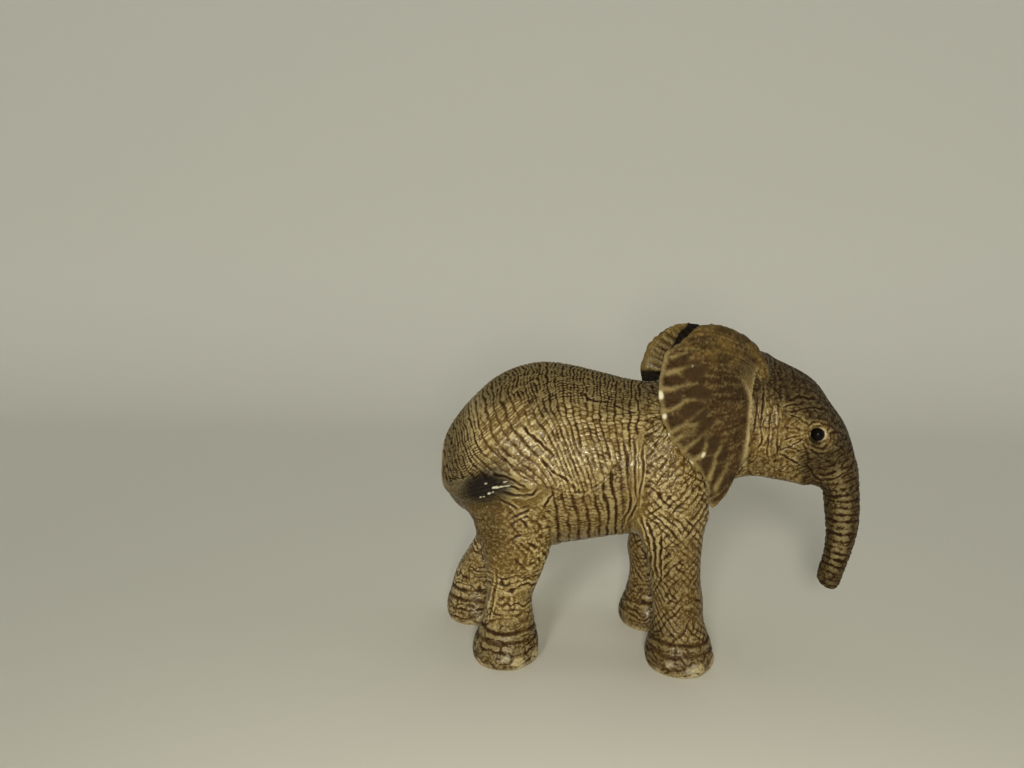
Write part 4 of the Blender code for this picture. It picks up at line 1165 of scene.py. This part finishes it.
eye_gloss, tree, shader = new_material("gloss_black_pvc")
eye_place = add_node(tree, "TexCoord").outputs["Object"]
cloud = add_node(tree, "TexNoise", [("Vector", eye_place), ("Scale", 1 / (0.8 * MM))]).outputs[0]
black_inputs = [(0, cloud), (6, tone(EYE_BLACK)), (7, tone(EYE_CLOUD))]
black = add_node(tree, "Mix", black_inputs, data_type="RGBA").outputs[2]
tree.links.new(black, shader.inputs["Base Color"])
shader.inputs["Roughness"].default_value = EYE_ROUGHNESS
shader.inputs["IOR"].default_value = PVC_IOR
shader.inputs["Specular IOR Level"].default_value = EYE_SPECULAR
for node in ("eye_right", "eye_left"):
    low, high = (np.array(corner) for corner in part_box(node))
    bead_radii = (high - low) / 2 * EYE_SHARE
    shape = bmesh.new()
    bmesh.ops.create_uvsphere(shape, u_segments=EYE_STEPS, v_segments=EYE_STEPS // 2, radius=1)
    for vertex in shape.verts:
        vertex.co = Vector((low + high) / 2 + np.array(vertex.co) * bead_radii + EYE_SHIFT)
    mesh = bpy.data.meshes.new(node + "_bead")
    shape.to_mesh(mesh)
    shape.free()
    mesh.shade_smooth()
    piece = put(node + "_bead", mesh)
    piece.data.materials.append(eye_gloss)
    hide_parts(node)
    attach(piece, "root")

# Floor and lights
# A pale matt sweep. A soft sun in front and a small lamp beside the camera make the glints. Weak
# wide suns behind and at both ends light the other sides; the sweep lets them through.
FLOOR_PALE = "dcdbd0"
PAPER_ROUGHNESS = 0.9
FLOOR_HALF_WIDTH = 1200
FLOOR_DEPTH = 230
FLOOR_BEND = 120

bend = [
    (FLOOR_DEPTH + FLOOR_BEND * math.sin(t), FLOOR_BEND * (1 - math.cos(t)))
    for t in np.linspace(0, math.pi / 2, 17)
]
profile = [(-FLOOR_HALF_WIDTH, 0)] + bend + [(FLOOR_DEPTH + FLOOR_BEND, FLOOR_HALF_WIDTH)]
rows = [(side * FLOOR_HALF_WIDTH * MM, y * MM, z * MM) for y, z in profile for side in (-1, 1)]
strips = [(2 * k, 2 * k + 1, 2 * k + 3, 2 * k + 2) for k in range(len(profile) - 1)]
backdrop = bpy.data.meshes.new("backdrop")
backdrop.from_pydata(rows, [], strips)
backdrop.shade_smooth()
floor = put("backdrop", backdrop)
paper, _, shader = new_material("matt_pale_paper")
shader.inputs["Base Color"].default_value = tone(FLOOR_PALE)
shader.inputs["Roughness"].default_value = PAPER_ROUGHNESS
floor.data.materials.append(paper)
floor.visible_shadow = False

OBJECT_MIDDLE = np.array([4, 0, 34])
WARM_WHITE = (1, 0.985, 0.93)
LAMP_YELLOW = (1, 0.94, 0.76)
LAMPS = (
    # name, kind, place in mm, width in mm or in degrees, watts or sun strength, colour
    ("sun_in_front", "SUN", (-150, -700, 300), 10, 1.07, WARM_WHITE),
    ("lamp_by_camera", "AREA", (-8, -176, 68), 15, 0.15, LAMP_YELLOW),
    ("sun_behind", "SUN", (150, 700, 300), 50, 0.55, WARM_WHITE),
    ("sun_at_rump", "SUN", (-700, 60, 260), 50, 0.35, WARM_WHITE),
    ("sun_at_face", "SUN", (700, 60, 260), 50, 0.35, WARM_WHITE),
)
for name, kind, place, width, strength, colour in LAMPS:
    lamp = bpy.data.lights.new(name, kind)
    if kind == "SUN":
        lamp.angle = math.radians(width)
    else:
        lamp.size = width * MM
    lamp.energy = strength
    lamp.color = colour
    holder = put(name, lamp)
    turn = Vector(OBJECT_MIDDLE - np.array(place)).to_track_quat("-Z", "Y").to_matrix().to_4x4()
    holder.matrix_world = Matrix.Translation(Vector(place) * MM) @ turn

# The room
# Its even light is weak, but behind the sweep's edge the camera sees it as pale as the sweep.
WORLD_PALE = "f2efe6"
WORLD_LIGHT = 0.16
WORLD_SEEN = 0.47
world = bpy.data.worlds.new("studio")
bpy.context.scene.world = world
world.use_nodes = True
background = world.node_tree.nodes["Background"]
background.inputs["Color"].default_value = tone(WORLD_PALE)
seen = add_node(world.node_tree, "LightPath").outputs["Is Camera Ray"]
strength_inputs = [("Value", seen), ("To Min", WORLD_LIGHT), ("To Max", WORLD_SEEN)]
strength = add_node(world.node_tree, "MapRange", strength_inputs).outputs["Result"]
world.node_tree.links.new(strength, background.inputs["Strength"])
bpy.context.scene.view_settings.view_transform = "Standard"
